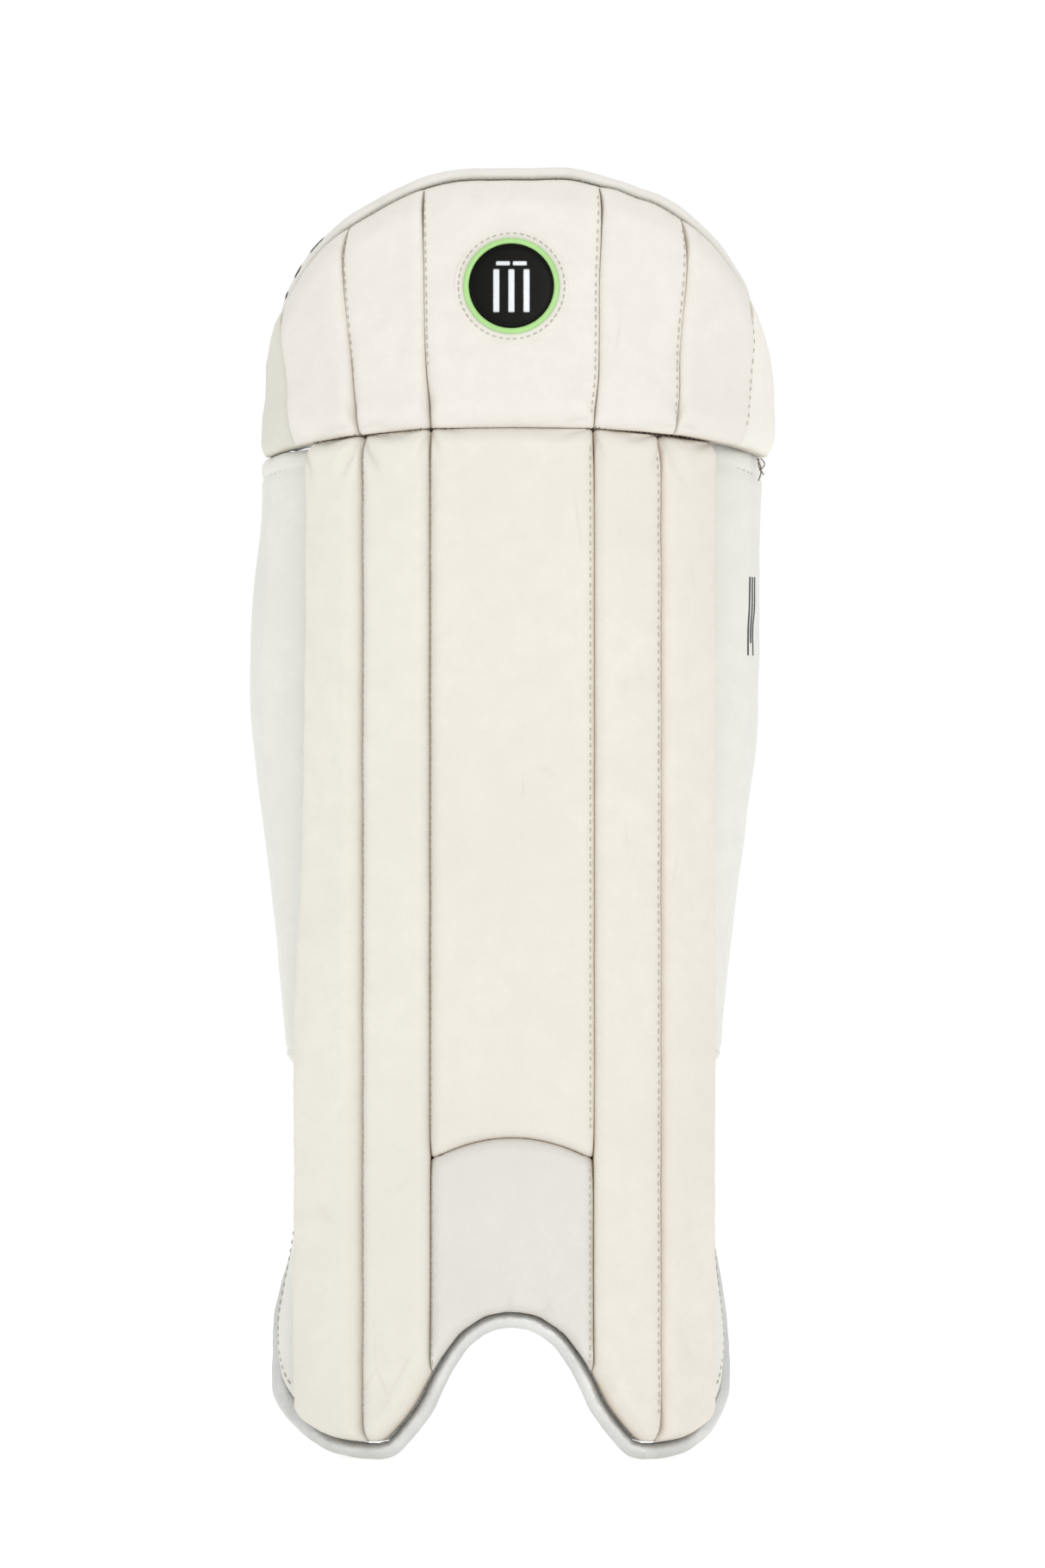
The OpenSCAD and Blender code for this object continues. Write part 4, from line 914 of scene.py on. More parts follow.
# ---------------------------------------------------------------- knee seam: gusset cloth and irregular dark hand stitches
def seam_plan(c):
    """Plan point and normal along the knee seam; c from -3 to 3."""
    a = abs(c)
    xs, ys = np.array([0, 39, 69.2, 91.0]), np.array([0, 0, 10.95, 30.1])
    x = np.interp(a, [0, 1, 2, 3], xs); y = np.interp(a, [0, 1, 2, 3], ys)
    n = np.array([0, -1.0]) if a < 1 else (np.array([math.sin(math.radians(20)), -math.cos(math.radians(20))]) if a < 2 else np.array([math.sin(math.radians(41)), -math.cos(math.radians(41))]))
    return np.array([math.copysign(x, c), y]), n * np.array([math.copysign(1, c) if c else 1, 1])


cs = np.linspace(-2.97, 2.97, 150)
gq = [seam_plan(c) for c in cs]
gp = np.array([q[0] for q in gq]); gn = np.array([q[1] for q in gq])
k = np.exp(-0.5 * (np.arange(-4, 5) / 2.0) ** 2); k /= k.sum()
gn = unit(np.stack([np.convolve(np.pad(gn[:, q], 4, "edge"), k, "valid") for q in range(2)], 1))
zz = np.linspace(-7, 7, 15)
zs = z_seam(gp[:, 0])
A = np.zeros((15, 150, 3)); B = np.zeros((15, 150, 3))
for i, dz in enumerate(zz):
    z = zs + dz
    yk = kick(z)
    fold = 0.12 * np.sin(np.arange(150) * 0.9 + i * 0.4)
    for G, d in ((A, 0.22), (B, -0.22)):
        G[i, :, 0] = gp[:, 0] + gn[:, 0] * d
        G[i, :, 1] = gp[:, 1] + gn[:, 1] * d + yk
        G[i, :, 2] = z
uvg = np.stack(np.broadcast_arrays(np.linspace(0, 196, 150)[None, :], zz[:, None]), -1)
# the gusset gets a constant 0.4 of the leather's painted groove shade, mottled by noise
gus = tray("knee_gusset", A, B, uvg, np.full((15, 150), 0.4), full_back=True, mats=(M_GUSSET,))
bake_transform(gus)
gm = np.array([[p[0] + n[0] * 8.5, p[1] + n[1] * 8.5, z] for p, n, z in zip(gp, gn, zs)])
ks = stitches("knee_seam_stitches", gm, np.concatenate([gn, np.zeros((150, 1))], 1), 2.9, 1.9, 0.3, -0.1, None, M_DARK, 301, 0.22, 0.15, across=(0.5, 0, 0.8))
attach(ks, "knee_flap")
# loose thread ends at the right corner of the knee seam
for i, (dx, dy, dz, bend) in enumerate(((0.6, -2.0, -11.0, 1.6), (2.4, -1.2, -8.0, -1.2), (-0.8, -2.6, -6.0, 2.2))):
    t = np.linspace(0, 1, 14)[:, None]
    a = np.array([119.0 + i * 0.9, 60.0, 481.5])
    C = a + t * np.array([dx, dy, dz]) + np.sin(t * math.pi) * np.array([bend, 0, 0])
    T = tangents(C)
    s = unit(np.cross(T, [0, 1, 0])); u = np.cross(s, T)
    rings = [[C[q] + 0.28 * (math.cos(a_) * s[q] + math.sin(a_) * u[q]) for a_ in np.linspace(0, 2 * math.pi, 6, endpoint=False)] for q in range(14)]
    ob = loft("loose_thread_%d" % (i + 1), rings, mats=(M_DARK,))
    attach(ob, "knee_flap")


# ---------------------------------------------------------------- swept trim
def sweep(name, C, ra, rb, n=18, mats=(), ref=(0, 1, 0), extra=None, caps=True):
    """Tube of half widths ra (across) and rb (along ref) on the design path C."""
    C = np.asarray(C, float)
    T = tangents(C)
    s = unit(np.cross(T, np.asarray(ref, float))); u = np.cross(s, T)
    m = len(C)
    ra = np.broadcast_to(ra, (m,)).copy(); rb = np.broadcast_to(rb, (m,)).copy()
    L = np.concatenate([[0], np.cumsum(np.linalg.norm(np.diff(C, axis=0), axis=1))])
    if caps:
        e = np.clip(np.minimum(L, L[-1] - L) / 3.0, 0, 1)
        q = np.sqrt(np.maximum(1 - (1 - e) ** 2, 0.05))
        ra *= q; rb *= q
    ang = np.linspace(0, 2 * math.pi, n, endpoint=False)
    mod = np.ones((m, n)) if extra is None else extra(L, ang)
    R = C[:, None, :] + mod[..., None] * (ra[:, None, None] * np.cos(ang)[None, :, None] * s[:, None, :] + rb[:, None, None] * np.sin(ang)[None, :, None] * u[:, None, :])
    uv = np.stack(np.broadcast_arrays(L[:, None], ang[None, :] * 4.0), -1)
    return loft(name, R, uv, mats=mats), C, s, u, L


def smooth_rows(f, z, w=5.0):
    return np.mean([f(np.asarray(z, float) + d) for d in np.linspace(-w, w, 7)], axis=0)


def flare(z):
    return smooth_rows(lambda q: np.interp(q, [10, 50, 70, 88, 106, 125], [5.5, 5, 3.8, 1.8, 0.4, 0]), z)


def a_end(z):
    return np.interp(z, [21, 28, 37, 50, 65, 86, 106, 120, 131, 140, 177], [0.25, 0.75, 1.3, 1.85, 2.25, 2.65, 3.05, 3.7, 4.4, 4.85, 4.85])


def spline_eval(ctl, s):
    """Catmull-Rom through control points ctl (..., k, 2) at parameter s (...)."""
    k = ctl.shape[-2]
    i = np.clip(np.floor(s).astype(int), 0, k - 2)
    t = (s - i)[..., None]
    ext = np.concatenate([2 * ctl[..., :1, :] - ctl[..., 1:2, :], ctl, 2 * ctl[..., -1:, :] - ctl[..., -2:-1, :]], -2)
    def g(o):
        return np.take_along_axis(ext, (i + o)[..., None, None].repeat(2, -1), -2)[..., 0, :]
    a, b, c, d = g(0), g(1), g(2), g(3)
    return 0.5 * (2 * b + (c - a) * t + (2 * a - 5 * b + 4 * c - d) * t ** 2 + (3 * b - a - 3 * c + d) * t ** 3)


def a_xy(z, s):
    z, s = np.broadcast_arrays(np.asarray(z, float), np.asarray(s, float))
    f = flare(z); o = np.ones_like(z)
    ctl = np.stack([np.stack([93 * o, 32.5 * o], -1), np.stack([96.6 + f, 45 * o], -1), np.stack([98 + 1.2 * f, 58 * o], -1),
                    np.stack([97.3 + f, 70 * o], -1), np.stack([91 * o, 80 * o], -1), np.stack([80 * o, 84 * o], -1)], -2)
    return spline_eval(ctl, s)


def a_pn(z, s):
    """Outer face point and outward normal of the right ankle wing."""
    p = a_xy(z, s)
    q = a_xy(z, np.minimum(s + 0.15, 5)) - a_xy(z, np.maximum(s - 0.15, 0))
    t = unit(q)
    n = np.stack([t[..., 1], -t[..., 0]], -1)
    z = np.broadcast_to(z, p.shape[:-1])
    return np.stack([p[..., 0], p[..., 1] + kick(z), z], -1), np.stack([n[..., 0], n[..., 1], 0 * z], -1)


def a_edge(z):
    P, N = a_pn(np.asarray(z, float), a_end(z))
    return P - N * ANK / 2


def piping_path():
    arch = lobe_off(4.0)
    half = [[x, np.interp(x, [0, S1, S2, S3], [0, 0, Y2, Y3]) + 3.4 + float(kick(z)), z] for x, z in arch[:13]]
    half.append([92.8, 34.2 + float(kick(14)), 14.2])
    for z in (24, 32, 42, 54, 68, 82, 95, 106, 114, 121, 127, 132, 137, 142, 152, 164, 176):
        e0, e1 = a_edge(min(z + 3, 177)), a_edge(max(z - 3, 21))
        t = unit(e0 - e1)
        s = a_end(z)
        v = np.append(a_xy(z, s) - a_xy(z, max(s - 0.2, 0)), 0)
        o = unit(v - (v @ t) * t)
        half.append(list(a_edge(z) + o * 4.45))
    half = np.array(half)
    mir = half[:0:-1] * np.array([-1, 1, 1])
    return catmull(np.vstack([mir, half]), 1.15)


C = piping_path()
T = tangents(C)
curv = np.linalg.norm(np.gradient(T, axis=0), axis=1) / 1.15
curv = np.convolve(np.pad(curv, 6, "edge"), np.ones(13) / 13, "valid")
rng = np.random.default_rng(77)
ph = np.cumsum(rng.uniform(0.75, 1.5, len(C)))


def creased(L, ang):
    c = np.clip(curv * 26, 0.12, 1.0)
    q = np.maximum(0, np.sin(ph)) ** 2
    face = 0.65 + 0.35 * np.cos(ang[None, :] * 1.0 + rng.uniform(0, 6.28, 1))
    return 1 - 0.075 * (c * q)[:, None] * face + 0.012 * np.sin(L[:, None] * 0.45 + ang[None, :] * 2)


pip, C, sN, uN, L = sweep("silver_piping", C, 4.0, 4.0, 20, (M_SILVER,), extra=creased)
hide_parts("edge_piping"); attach(pip, "shin")
# ---------------------------------------------------------------- white binding along the top of the flap
BT = np.array([[0, 0], [41, 0], [78, 11], [107, 36.5], [113.5, 68]], float)
BZT = np.array([[0, 3.1], [50, 3.4], [70, 3.7], [80, 4.2], [90, 4.7], [100, 5.2], [106, 5.2], [108, 4.2], [113.5, 4]], float)


def binding_path():
    half = []
    for x in (0, 10, 20, 30, 41, 50, 60, 69, 78, 84, 91, 97, 103, 107, 110):
        z = float(z_top(x)) + float(np.interp(x, BZT[:, 0], BZT[:, 1]))
        half.append([x, np.interp(x, BT[:, 0], BT[:, 1]) + 0.6 + float(kick(z)), z])
    k = lambda z: float(kick(z))
    half += [[113.8, 66.3 + k(536), 535.6], [116.2, 71.9 + k(530), 528], [117, 71.9 + k(512), 510], [117.5, 71.7 + k(494), 494], [117.7, 71.5, 485.2]]
    half = np.array(half)
    return catmull(np.vstack([half[:0:-1] * np.array([-1, 1, 1]), half]), 1.6)


C = binding_path()
rb = np.interp(np.abs(C[:, 0]), [0, 84, 108, 120], [4.2, 4.0, 3.0, 2.9])
bnd, C, sB, uB, L = sweep("top_binding_trim", C, 2.95, rb, 16, (M_BIND,), extra=lambda L, a: 1 + 0.02 * np.sin(L[:, None] * 1.3 + 1.7 * np.sin(L[:, None] * 0.31)) * (0.6 + 0.4 * np.cos(a[None, :])))
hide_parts("top_binding"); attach(bnd, "knee_flap")
sgn = np.sign(sB[len(sB) // 2, 2]) or 1.0
keep = np.abs(C[:, 0]) < 111
inward = -sgn * sB
edge = C + inward * 2.1 - uB * rb[:, None] * 0.62 * np.sign(uB[len(uB) // 2, 1])
stitches("top_binding_stitches", edge[keep], (inward * 0.7 - uB * np.sign(uB[len(uB) // 2, 1]))[keep], 4.0, 2.6, 0.34, 0.0, "knee_flap", M_THREAD, 411, 0.08, 0.2)


# ---------------------------------------------------------------- side wings
BUL = np.array([[184, 101], [196, 101.6], [217, 103.5], [237, 106.2], [258, 108.3], [279, 110.7], [299, 113.8], [320, 116.4],
                [340, 118.7], [363, 120.7], [390, 121], [414, 120.6], [445, 119.2], [470, 119], [482, 120]], float)


def bulge(z):
    return smooth_rows(lambda q: np.interp(q, BUL[:, 0], BUL[:, 1]), z, 9)


def arc_y(x, r=95.0):
    return HY + np.sqrt(r * r - (x - HX) ** 2)


def w_xy(b, s):
    b, s = np.broadcast_arrays(np.asarray(b, float), np.asarray(s, float))
    o = np.ones_like(b)
    c = [(94.5 * o, 34.5 * o), (94.5 + (b - 94.5) * 0.42, 45 * o), (94.5 + (b - 94.5) * 0.76, 58 * o), (b - 1.5, 74 * o), (b, 91 * o),
         (b - 1.2, 107 * o), (b - 5, 118 * o), (b - 11, arc_y(b - 11)), (b - 22, arc_y(b - 22)), (b - 33, arc_y(b - 33))]
    return spline_eval(np.stack([np.stack(q, -1) for q in c], -2), s)


def w_pn(z, s):
    b = bulge(z)
    p = w_xy(b, s)
    t = unit(w_xy(b, np.minimum(s + 0.2, 9)) - w_xy(b, np.maximum(s - 0.2, 0)))
    n = np.stack([t[..., 1], -t[..., 0]], -1)
    z = np.broadcast_to(z, p.shape[:-1])
    return np.stack([p[..., 0], p[..., 1], z], -1), np.stack([n[..., 0], n[..., 1], 0 * z], -1)


WTS = np.linspace(0, 9, 181)
WTX = np.maximum.accumulate(w_pn(np.full(181, 480.0), WTS)[0][:, 0])
WTZ = z_seam(WTX) - 0.4 - 0.5 * np.clip((WTX - 99) / 16, 0, 1)      # the wing's top follows the flap's lower edge


def w_lim(s):
    zb = 186 + np.where(s > 5, 24 * ((s - 5) / 4) ** 2, 0) + 14 * np.clip((s - 8.2) / 0.8, 0, 1) ** 3
    zt = np.interp(s, WTS, WTZ) - np.where(s > 5.5, 18 * ((s - 5.5) / 3.5) ** 2, 0) - 14 * np.clip((s - 8.2) / 0.8, 0, 1) ** 3
    return zb, zt


def wing_arrays(step_s=0.11, step_z=2.4):
    s = np.concatenate([[0, 0.02, 0.05, 0.1, 0.18], np.arange(0.28, 8.75, step_s * 1.4), [8.8, 8.88, 8.94, 8.98, 9.0]])
    q = edge_list(290, step_z) / 290
    S, Q = np.meshgrid(s, q)
    zb, zt = w_lim(S)
    return S, mixf(zb, zt, Q), Q


S, Z, Q = wing_arrays()
PO, NO = w_pn(Z, S)
dist = np.concatenate([np.zeros((1,) + PO.shape[1:2]), np.cumsum(np.linalg.norm(np.diff(PO, axis=0), axis=2), 0)], 0)
dz0, dz1 = dist, dist[-1:] - dist
dsl = np.concatenate([np.zeros((PO.shape[0], 1)), np.cumsum(np.linalg.norm(np.diff(PO[..., :2], axis=1), axis=2), 1)], 1)
ds0, ds1 = dsl, dsl[:, -1:] - dsl
f = (0.45 + 0.55 * puff(ds0, 6, 0.6)) * puff(ds1, 8, 0.6) * (0.3 + 0.7 * puff(dz0, 7, 0.7)) * (0.84 + 0.16 * puff(dz1, 4, 0.8))
IN = PO - NO * (WING - 1.2)
for side, sg, sd in (("left", True, 501), ("right", False, 517)):
    h = FOOT + 0.3 + f * (9.2 + waves(dsl, Z, sd, 60, 0.3) + waves(dsl, Z, sd + 3, 20, 0.1))
    for (sc, zc, R, A_) in ((1.4, 455, 26, 0.5), (1.6, 205, 24, 0.5), (5.6, 400 if not sg else 262, 30, 0.4)):
        d = np.hypot((S - sc) * 14.0, Z - zc); th = np.arctan2(Z - zc, (S - sc) * 14.0 + 1e-6)
        h = h - f * A_ * np.exp(-((d - 0.5 * R) / (0.4 * R)) ** 2) * np.maximum(0, np.cos(4.2 * th + sd)) ** 3
    near = np.minimum(np.minimum(ds1, dz0), dz1)
    h = h - f * 0.9 * np.exp(-((near - 8.5) / 1.0) ** 2) * (ds0 > 6)      # sewn channel round the edge
    A = IN + NO * h[..., None]
    # painted shade: the seam mask darkens the wing leather towards its edges, most beside the hinge
    ob = tray("wing_pad_" + side, A, IN + NO * FOOT, np.stack([dsl, Z], -1), np.clip(1 - f ** 1.5, 0, 1), sg, full_back=True, mats=(M_WING,))
    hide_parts("wing_cover_" + side, "wing_foam_" + side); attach(ob, side + "_wing")
    # stitches in the sewn channel round the edge
    sv = np.concatenate([np.linspace(1.2, 8.3, 70), np.full(60, 8.32), np.linspace(8.3, 1.2, 70)])
    zb, zt = w_lim(sv)
    zc = np.concatenate([zt[:70] - 8.5, np.linspace(zt[69] - 9, zb[69] + 9, 60), zb[130:] + 8.5])
    P0, N0 = w_pn(zc, sv)
    P0 = P0 - N0 * 1.25
    M = np.array([-1, 1, 1]) if sg else np.array([1, 1, 1])
    stitches("wing_edge_stitches_" + side, P0 * M, N0 * M, 4.4, 2.9, 0.36, 0.0, side + "_wing", M_THREAD, 520 + sd, 0.08, 0.2)
    # mesh lining, quilted in shallow horizontal channels
    q = puff(ds0, 4, 0.6) * puff(ds1, 4, 0.6) * puff(dz0, 4, 0.6) * puff(dz1, 4, 0.6)
    ch = np.exp(-(((Z - 186) % 58.0 - 29.0) / 2.2) ** 2)
    hin = -0.5 - q * (1.35 - 0.9 * ch)
    Lb = IN + NO * hin[..., None]
    Lf = IN + NO * 0.0
    ob = tray("wing_lining_pad_" + side, Lf, Lb, np.stack([dsl, Z], -1), np.clip(1 - q, 0, 1), sg, full_back=True, mats=(M_MESH,))
    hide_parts("wing_lining_" + side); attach(ob, side + "_wing")

# plain slim dashes printed on the side of the right wing
for i, s0 in enumerate((1.98, 2.2, 2.42)):
    zz2 = np.linspace(386, 424, 40) if i != 1 else np.linspace(392, 424, 34)
    sv = np.linspace(s0, s0 + 0.09, 4)
    Sg, Zg = np.meshgrid(sv, zz2)
    Pg, Ng = w_pn(Zg, Sg)
    h = FOOT + 0.3 + 9.2 + waves(np.interp(Sg, S[0], dsl[60]), Zg, 517, 60, 0.3) + waves(np.interp(Sg, S[0], dsl[60]), Zg, 520, 20, 0.1)
    Pi = Pg - Ng * (WING - 1.2)
    ob = tray("wing_print_%d" % (i + 1), Pi + Ng * (h + 0.22)[..., None], Pi + Ng * (h - 0.5)[..., None], np.stack([Sg * 12, Zg], -1), np.zeros(Sg.shape), full_back=True, mats=(M_PRINT,))
    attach(ob, "right_wing")

# folds of leather along the wing hinges
for side, sg in (("left", -1), ("right", 1)):
    zz3 = np.linspace(187, 478, 120)
    ang = np.linspace(0, 2 * math.pi, 14, endpoint=False)
    wr = 1 + 0.05 * np.sin(zz3 * 0.9 + 2 * np.sin(zz3 * 0.13))
    fd = unit(np.array([0.42, 0.91])); fq = np.array([fd[1], -fd[0]])
    kf = np.interp(zz3, [187, 300, 400, 480], [2.6, 0.8, 0, 0]) * (sg < 0)
    rings = np.array([[[sg * (HX - 0.4 + k_ + (4.6 + k_ * 0.6) * math.cos(a) * fd[0] + 2.3 * w_ * math.sin(a) * fq[0]),
                        HY + 0.9 + 4.6 * math.cos(a) * fd[1] + 2.3 * w_ * math.sin(a) * fq[1], z] for a in ang] for z, w_, k_ in zip(zz3, wr, kf)])
    if sg > 0:
        rings = rings[:, ::-1]
    uvh = np.stack(np.broadcast_arrays(ang[None, :] * 2.2, zz3[:, None]), -1)
    ob = loft("wing_hinge_fold_" + side, rings, uvh, mats=(M_WING,))
    if side == "left":
        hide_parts("wing_hinge_seams")
    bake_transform(ob)

# ---------------------------------------------------------------- ankle wings
zr = np.concatenate([np.arange(21, 170, 2.6), [171, 173, 174.6, 175.8, 176.6, 177]])
fr_ = np.concatenate([[0, 0.02, 0.05], np.linspace(0.09, 0.9, 20), [0.93, 0.955, 0.975, 0.99, 1.0]])
Zg, Fg = np.meshgrid(zr, fr_, indexing="ij")
Sg = a_end(Zg) * Fg
PA, NA = a_pn(Zg, Sg)
dl = np.concatenate([np.zeros((PA.shape[0], 1)), np.cumsum(np.linalg.norm(np.diff(PA, axis=1), axis=2), 1)], 1)
de, dt_ = dl[:, -1:] - dl, 177 - Zg
fa = puff(np.maximum(de, 0), 5, 0.6) * puff(dt_, 5, 0.6)
for side, sg in (("left", True), ("right", False)):
    wv = waves(dl, Zg, 601 + sg, 34, 0.18)
    # painted shade: the seam mask darkens the ankle wing leather towards its edges
    ob = tray("ankle_wing_pad_" + side, PA - NA * (2.6 * (1 - fa) - wv * fa)[..., None], PA - NA * 4.5, np.stack([dl, Zg], -1), np.clip(1 - fa ** 1.5, 0, 1), sg, full_back=True, mats=(M_WING,))
    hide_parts("ankle_wing_cover_" + side, *(("ankle_wing_foam",) if side == "left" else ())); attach(ob, "shin")
    q = puff(np.maximum(de, 0), 3, 0.6) * puff(dt_, 3, 0.6) * puff(dl + 1.0, 3, 0.6)
    ob = tray("ankle_lining_pad_" + side, PA - NA * 4.7, PA - NA * (5.0 + 1.0 * q)[..., None], np.stack([dl, Zg], -1), np.clip(1 - q, 0, 1), sg, full_back=True, mats=(M_MESH,))
    if side == "left":
        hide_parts("ankle_wing_lining")
    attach(ob, "shin")
    P0, N0 = a_pn(np.linspace(34, 170, 90), np.maximum(a_end(np.linspace(34, 170, 90)) - 0.5, 0.15))
    M = np.array([-1, 1, 1]) if sg else np.array([1, 1, 1])
    stitches("ankle_stitches_" + side, (P0 + N0 * 0.05) * M, N0 * M, 4.2, 2.8, 0.34, 0.0, "shin", M_THREAD, 640 + sg, 0.08, 0.2)


# ---------------------------------------------------------------- linings behind the shin and the flap
def plan_n(k):
    p = PAN[k]
    t = np.array([p[1] - p[0], p[5] - p[4]], float); t /= np.linalg.norm(t)
    return np.array([t[1], -t[0]])


def sheet_pt(b, c, w, e=0.0):
    """Point on the folded plan and its outward (front) direction."""
    q = [plan_n(0), plan_n(1), plan_n(2)] if b == 0 else [plan_n(4), plan_n(5), plan_n(6), plan_n(7)]
    ys = [0, 0, Y2, Y3] if b == 0 else [0, 0, 11, 36.5, 68]
    sx = lambda w_: [0, S1, S2, S3] if b == 0 else [0, mixf(39, 41, w_), mixf(69.5, 78, w_), mixf(99, 107, w_), mixf(115.5, 113.5, w_)]
    a = abs(c); i = min(int(a), len(ys) - 2); f_ = a - i
    def mit(i_):
        n1, n2 = q[max(i_ - 1, 0)], q[min(i_, len(q) - 1)]
        return (n1 + n2) / (1 + n1 @ n2)
    xs = sx(w)
    xb, xt = mixf(sx(0)[i], sx(0)[i + 1], f_), mixf(sx(1)[i], sx(1)[i + 1], f_)
    zb = (z_low(xb) + e) if b == 0 else z_seam(xb) + 0.8 + e
    zt = (z_seam(xt) - 0.8 - e) if b == 0 else z_top(xt) - e
    z = mixf(zb, zt, w)
    v = mixf(mit(i), mit(i + 1), f_)
    s = math.copysign(1, c)
    return np.array([s * mixf(xs[i], xs[i + 1], f_), mixf(ys[i], ys[i + 1], f_) + float(kick(z)), z]), np.array([s * v[0], v[1], 0.0])


def lining(name, b, cs, ws, front, back, e, channels, reps, body, depth=1.6):
    P = np.zeros((len(ws), len(cs), 3)); N = np.zeros_like(P)
    for i, w in enumerate(ws):
        for j, c in enumerate(cs):
            P[i, j], N[i, j] = sheet_pt(b, c, w, e)
    du = np.concatenate([[0], np.cumsum(np.linalg.norm(np.diff(P[len(ws) // 2], axis=0), axis=1))])
    U = np.broadcast_to(du, P.shape[:2])
    zl, zh = P[0:1, :, 2], P[-1:, :, 2]
    dd = np.minimum(np.minimum(U, U[:, -1:] - U), np.minimum(P[..., 2] - zl, zh - P[..., 2]))
    q = puff(np.maximum(dd, 0), 4, 0.6)
    a = np.abs(np.array(cs))
    fold = sum(np.exp(-((a - k_) / 0.055) ** 2) for k_ in (1, 2, 3))[None, :]
    ch = sum(np.exp(-((P[..., 2] - z0) / 2.4) ** 2) for z0 in channels) if len(channels) else 0 * q
    g = np.clip(fold + ch, 0, 1)
    d = back + (1 - q) * depth * 1.5 + g * depth * q + 0.12 * waves(U, P[..., 2], 700 + b, 9, 1.0)
    A = P + N * front
    Bk = P + N * d[..., None]
    ob = tray(name, A, Bk, np.stack([U, P[..., 2]], -1), np.clip(1 - q, 0, 1) * 0.5, full_back=True, mats=(M_MESH,))
    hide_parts(*reps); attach(ob, body)
    return ob


cs = sorted(set(np.round(np.concatenate([np.linspace(-2.98, 2.98, 104), [-2.05, -2, -1.95, -1.05, -1, -0.95, 0.95, 1, 1.05, 1.95, 2, 2.05]]), 4)))
ws = edge_list(480, 4.0, (0, 0.5, 1.5, 3, 4.5)) / 480
lining("shin_lining_pad", 0, cs, ws, -2.62, -8.55, 0, (120, 190, 260, 330, 400, 455), ("shin_lining",), "shin")
cs = sorted(set(np.round(np.concatenate([np.linspace(-3.96, 3.96, 96), [-3, -2, -1, 1, 2, 3]]), 4)))
ws = edge_list(110, 3.0, (0, 0.5, 1.5, 3, 4.5)) / 110
lining("flap_lining_pad", 1, cs, ws, -2.35, -6.25, 1.0, (), ("flap_lining",), "knee_flap", 1.1)


# ---------------------------------------------------------------- cushions that touch the leg
def cushion(name, W, H, r, T, frame_fn, step, mat, channels=(), nose=5.5, seed=1, crown=1.0):
    """A crowned pad on a rounded rectangle, flat in front, T mm deep; frame_fn maps (x, depth, z)."""
    ws = edge_list(H, step) ; us = edge_list(W, step) / W
    U, Zc = np.meshgrid(us, ws)
    qq = np.clip(r - np.minimum(Zc, H - Zc), 0, r)
    ins = r - np.sqrt(np.maximum(r * r - qq * qq, 0))
    X = -W / 2 + ins + U * (W - 2 * ins)
    d = np.minimum(np.minimum(X + W / 2 - ins, W / 2 - ins - X), np.minimum(Zc, H - Zc))
    f = puff(np.maximum(d, 0), nose, 0.55)
    h = T * 0.32 + f * (T * 0.68 - crown + crown * (1 - (2 * U - 1) ** 2) * np.sin(math.pi * np.clip(Zc / H, 0, 1)) ** 0.4)
    for c in channels:
        h = h - f * 0.3 * T * np.exp(-((Zc - c) / 2.0) ** 2)
    h = np.minimum(h + f * waves(X, Zc, seed, 24, 0.12), T)
    A = frame_fn(X, np.zeros_like(X), Zc - H / 2)
    B = frame_fn(X, h, Zc - H / 2)
    return tray(name, A, B, np.stack([X + W, Zc], -1), 0.4 * (1 - f), full_back=True, mats=(mat,)), (X, h, Zc)


def pressure(ob, force, cap, voxel, shrink=0.0):
    """Blender cloth with pressure on a remeshed copy; its outward swelling is capped and put back on the piece's own grid."""
    sc = bpy.context.scene
    me = ob.data.copy()
    w = bpy.data.objects.new(ob.name + "_sim", me); col.objects.link(w)
    bpy.context.view_layer.objects.active = w
    for o in bpy.context.selected_objects:
        o.select_set(False)
    w.select_set(True)
    me.remesh_voxel_size = voxel
    bpy.ops.object.voxel_remesh()
    rest = np.array([v.co for v in w.data.vertices])
    md = w.modifiers.new("cloth", "CLOTH")
    cs_ = md.settings
    cs_.quality = 6; cs_.mass = 0.25
    cs_.tension_stiffness = cs_.compression_stiffness = 18
    cs_.shear_stiffness = 8; cs_.bending_stiffness = 1.2
    cs_.use_pressure = True; cs_.uniform_pressure_force = force
    cs_.effector_weights.gravity = 0
    md.point_cache.frame_start = 1; md.point_cache.frame_end = 14
    for fno in range(1, 15):
        sc.frame_set(fno)
    dg = bpy.context.evaluated_depsgraph_get()
    ev = w.evaluated_get(dg)
    em = ev.to_mesh()
    now = np.array([v.co for v in em.vertices])
    ev.to_mesh_clear()
    move = now - rest
    back = rest[:, 1] - rest[:, 1].min()
    move *= np.clip((back - 0.0015) / 0.003, 0, 1)[:, None]      # the sewn-down back stays where it is
    move[:, 1] = np.maximum(move[:, 1], 0)
    ln = np.linalg.norm(move, axis=1, keepdims=True)
    move = np.where(ln > cap, move * cap / np.maximum(ln, 1e-9), move)
    from mathutils.kdtree import KDTree
    kd = KDTree(len(rest))
    for i, p in enumerate(rest):
        kd.insert(p, i)
    kd.balance()
    out = []
    for v in ob.data.vertices:
        hits = kd.find_n(v.co, 6)
        wt = np.array([1.0 / (h_[2] + voxel * 0.15) for h_ in hits]); wt /= wt.sum()
        out.append(np.array(v.co) + (move[[h_[1] for h_ in hits]] * wt[:, None]).sum(0))
    ob.data.vertices.foreach_set("co", np.array(out).ravel())
    ob.data.update()
    bpy.data.objects.remove(w)
    sc.frame_set(1)


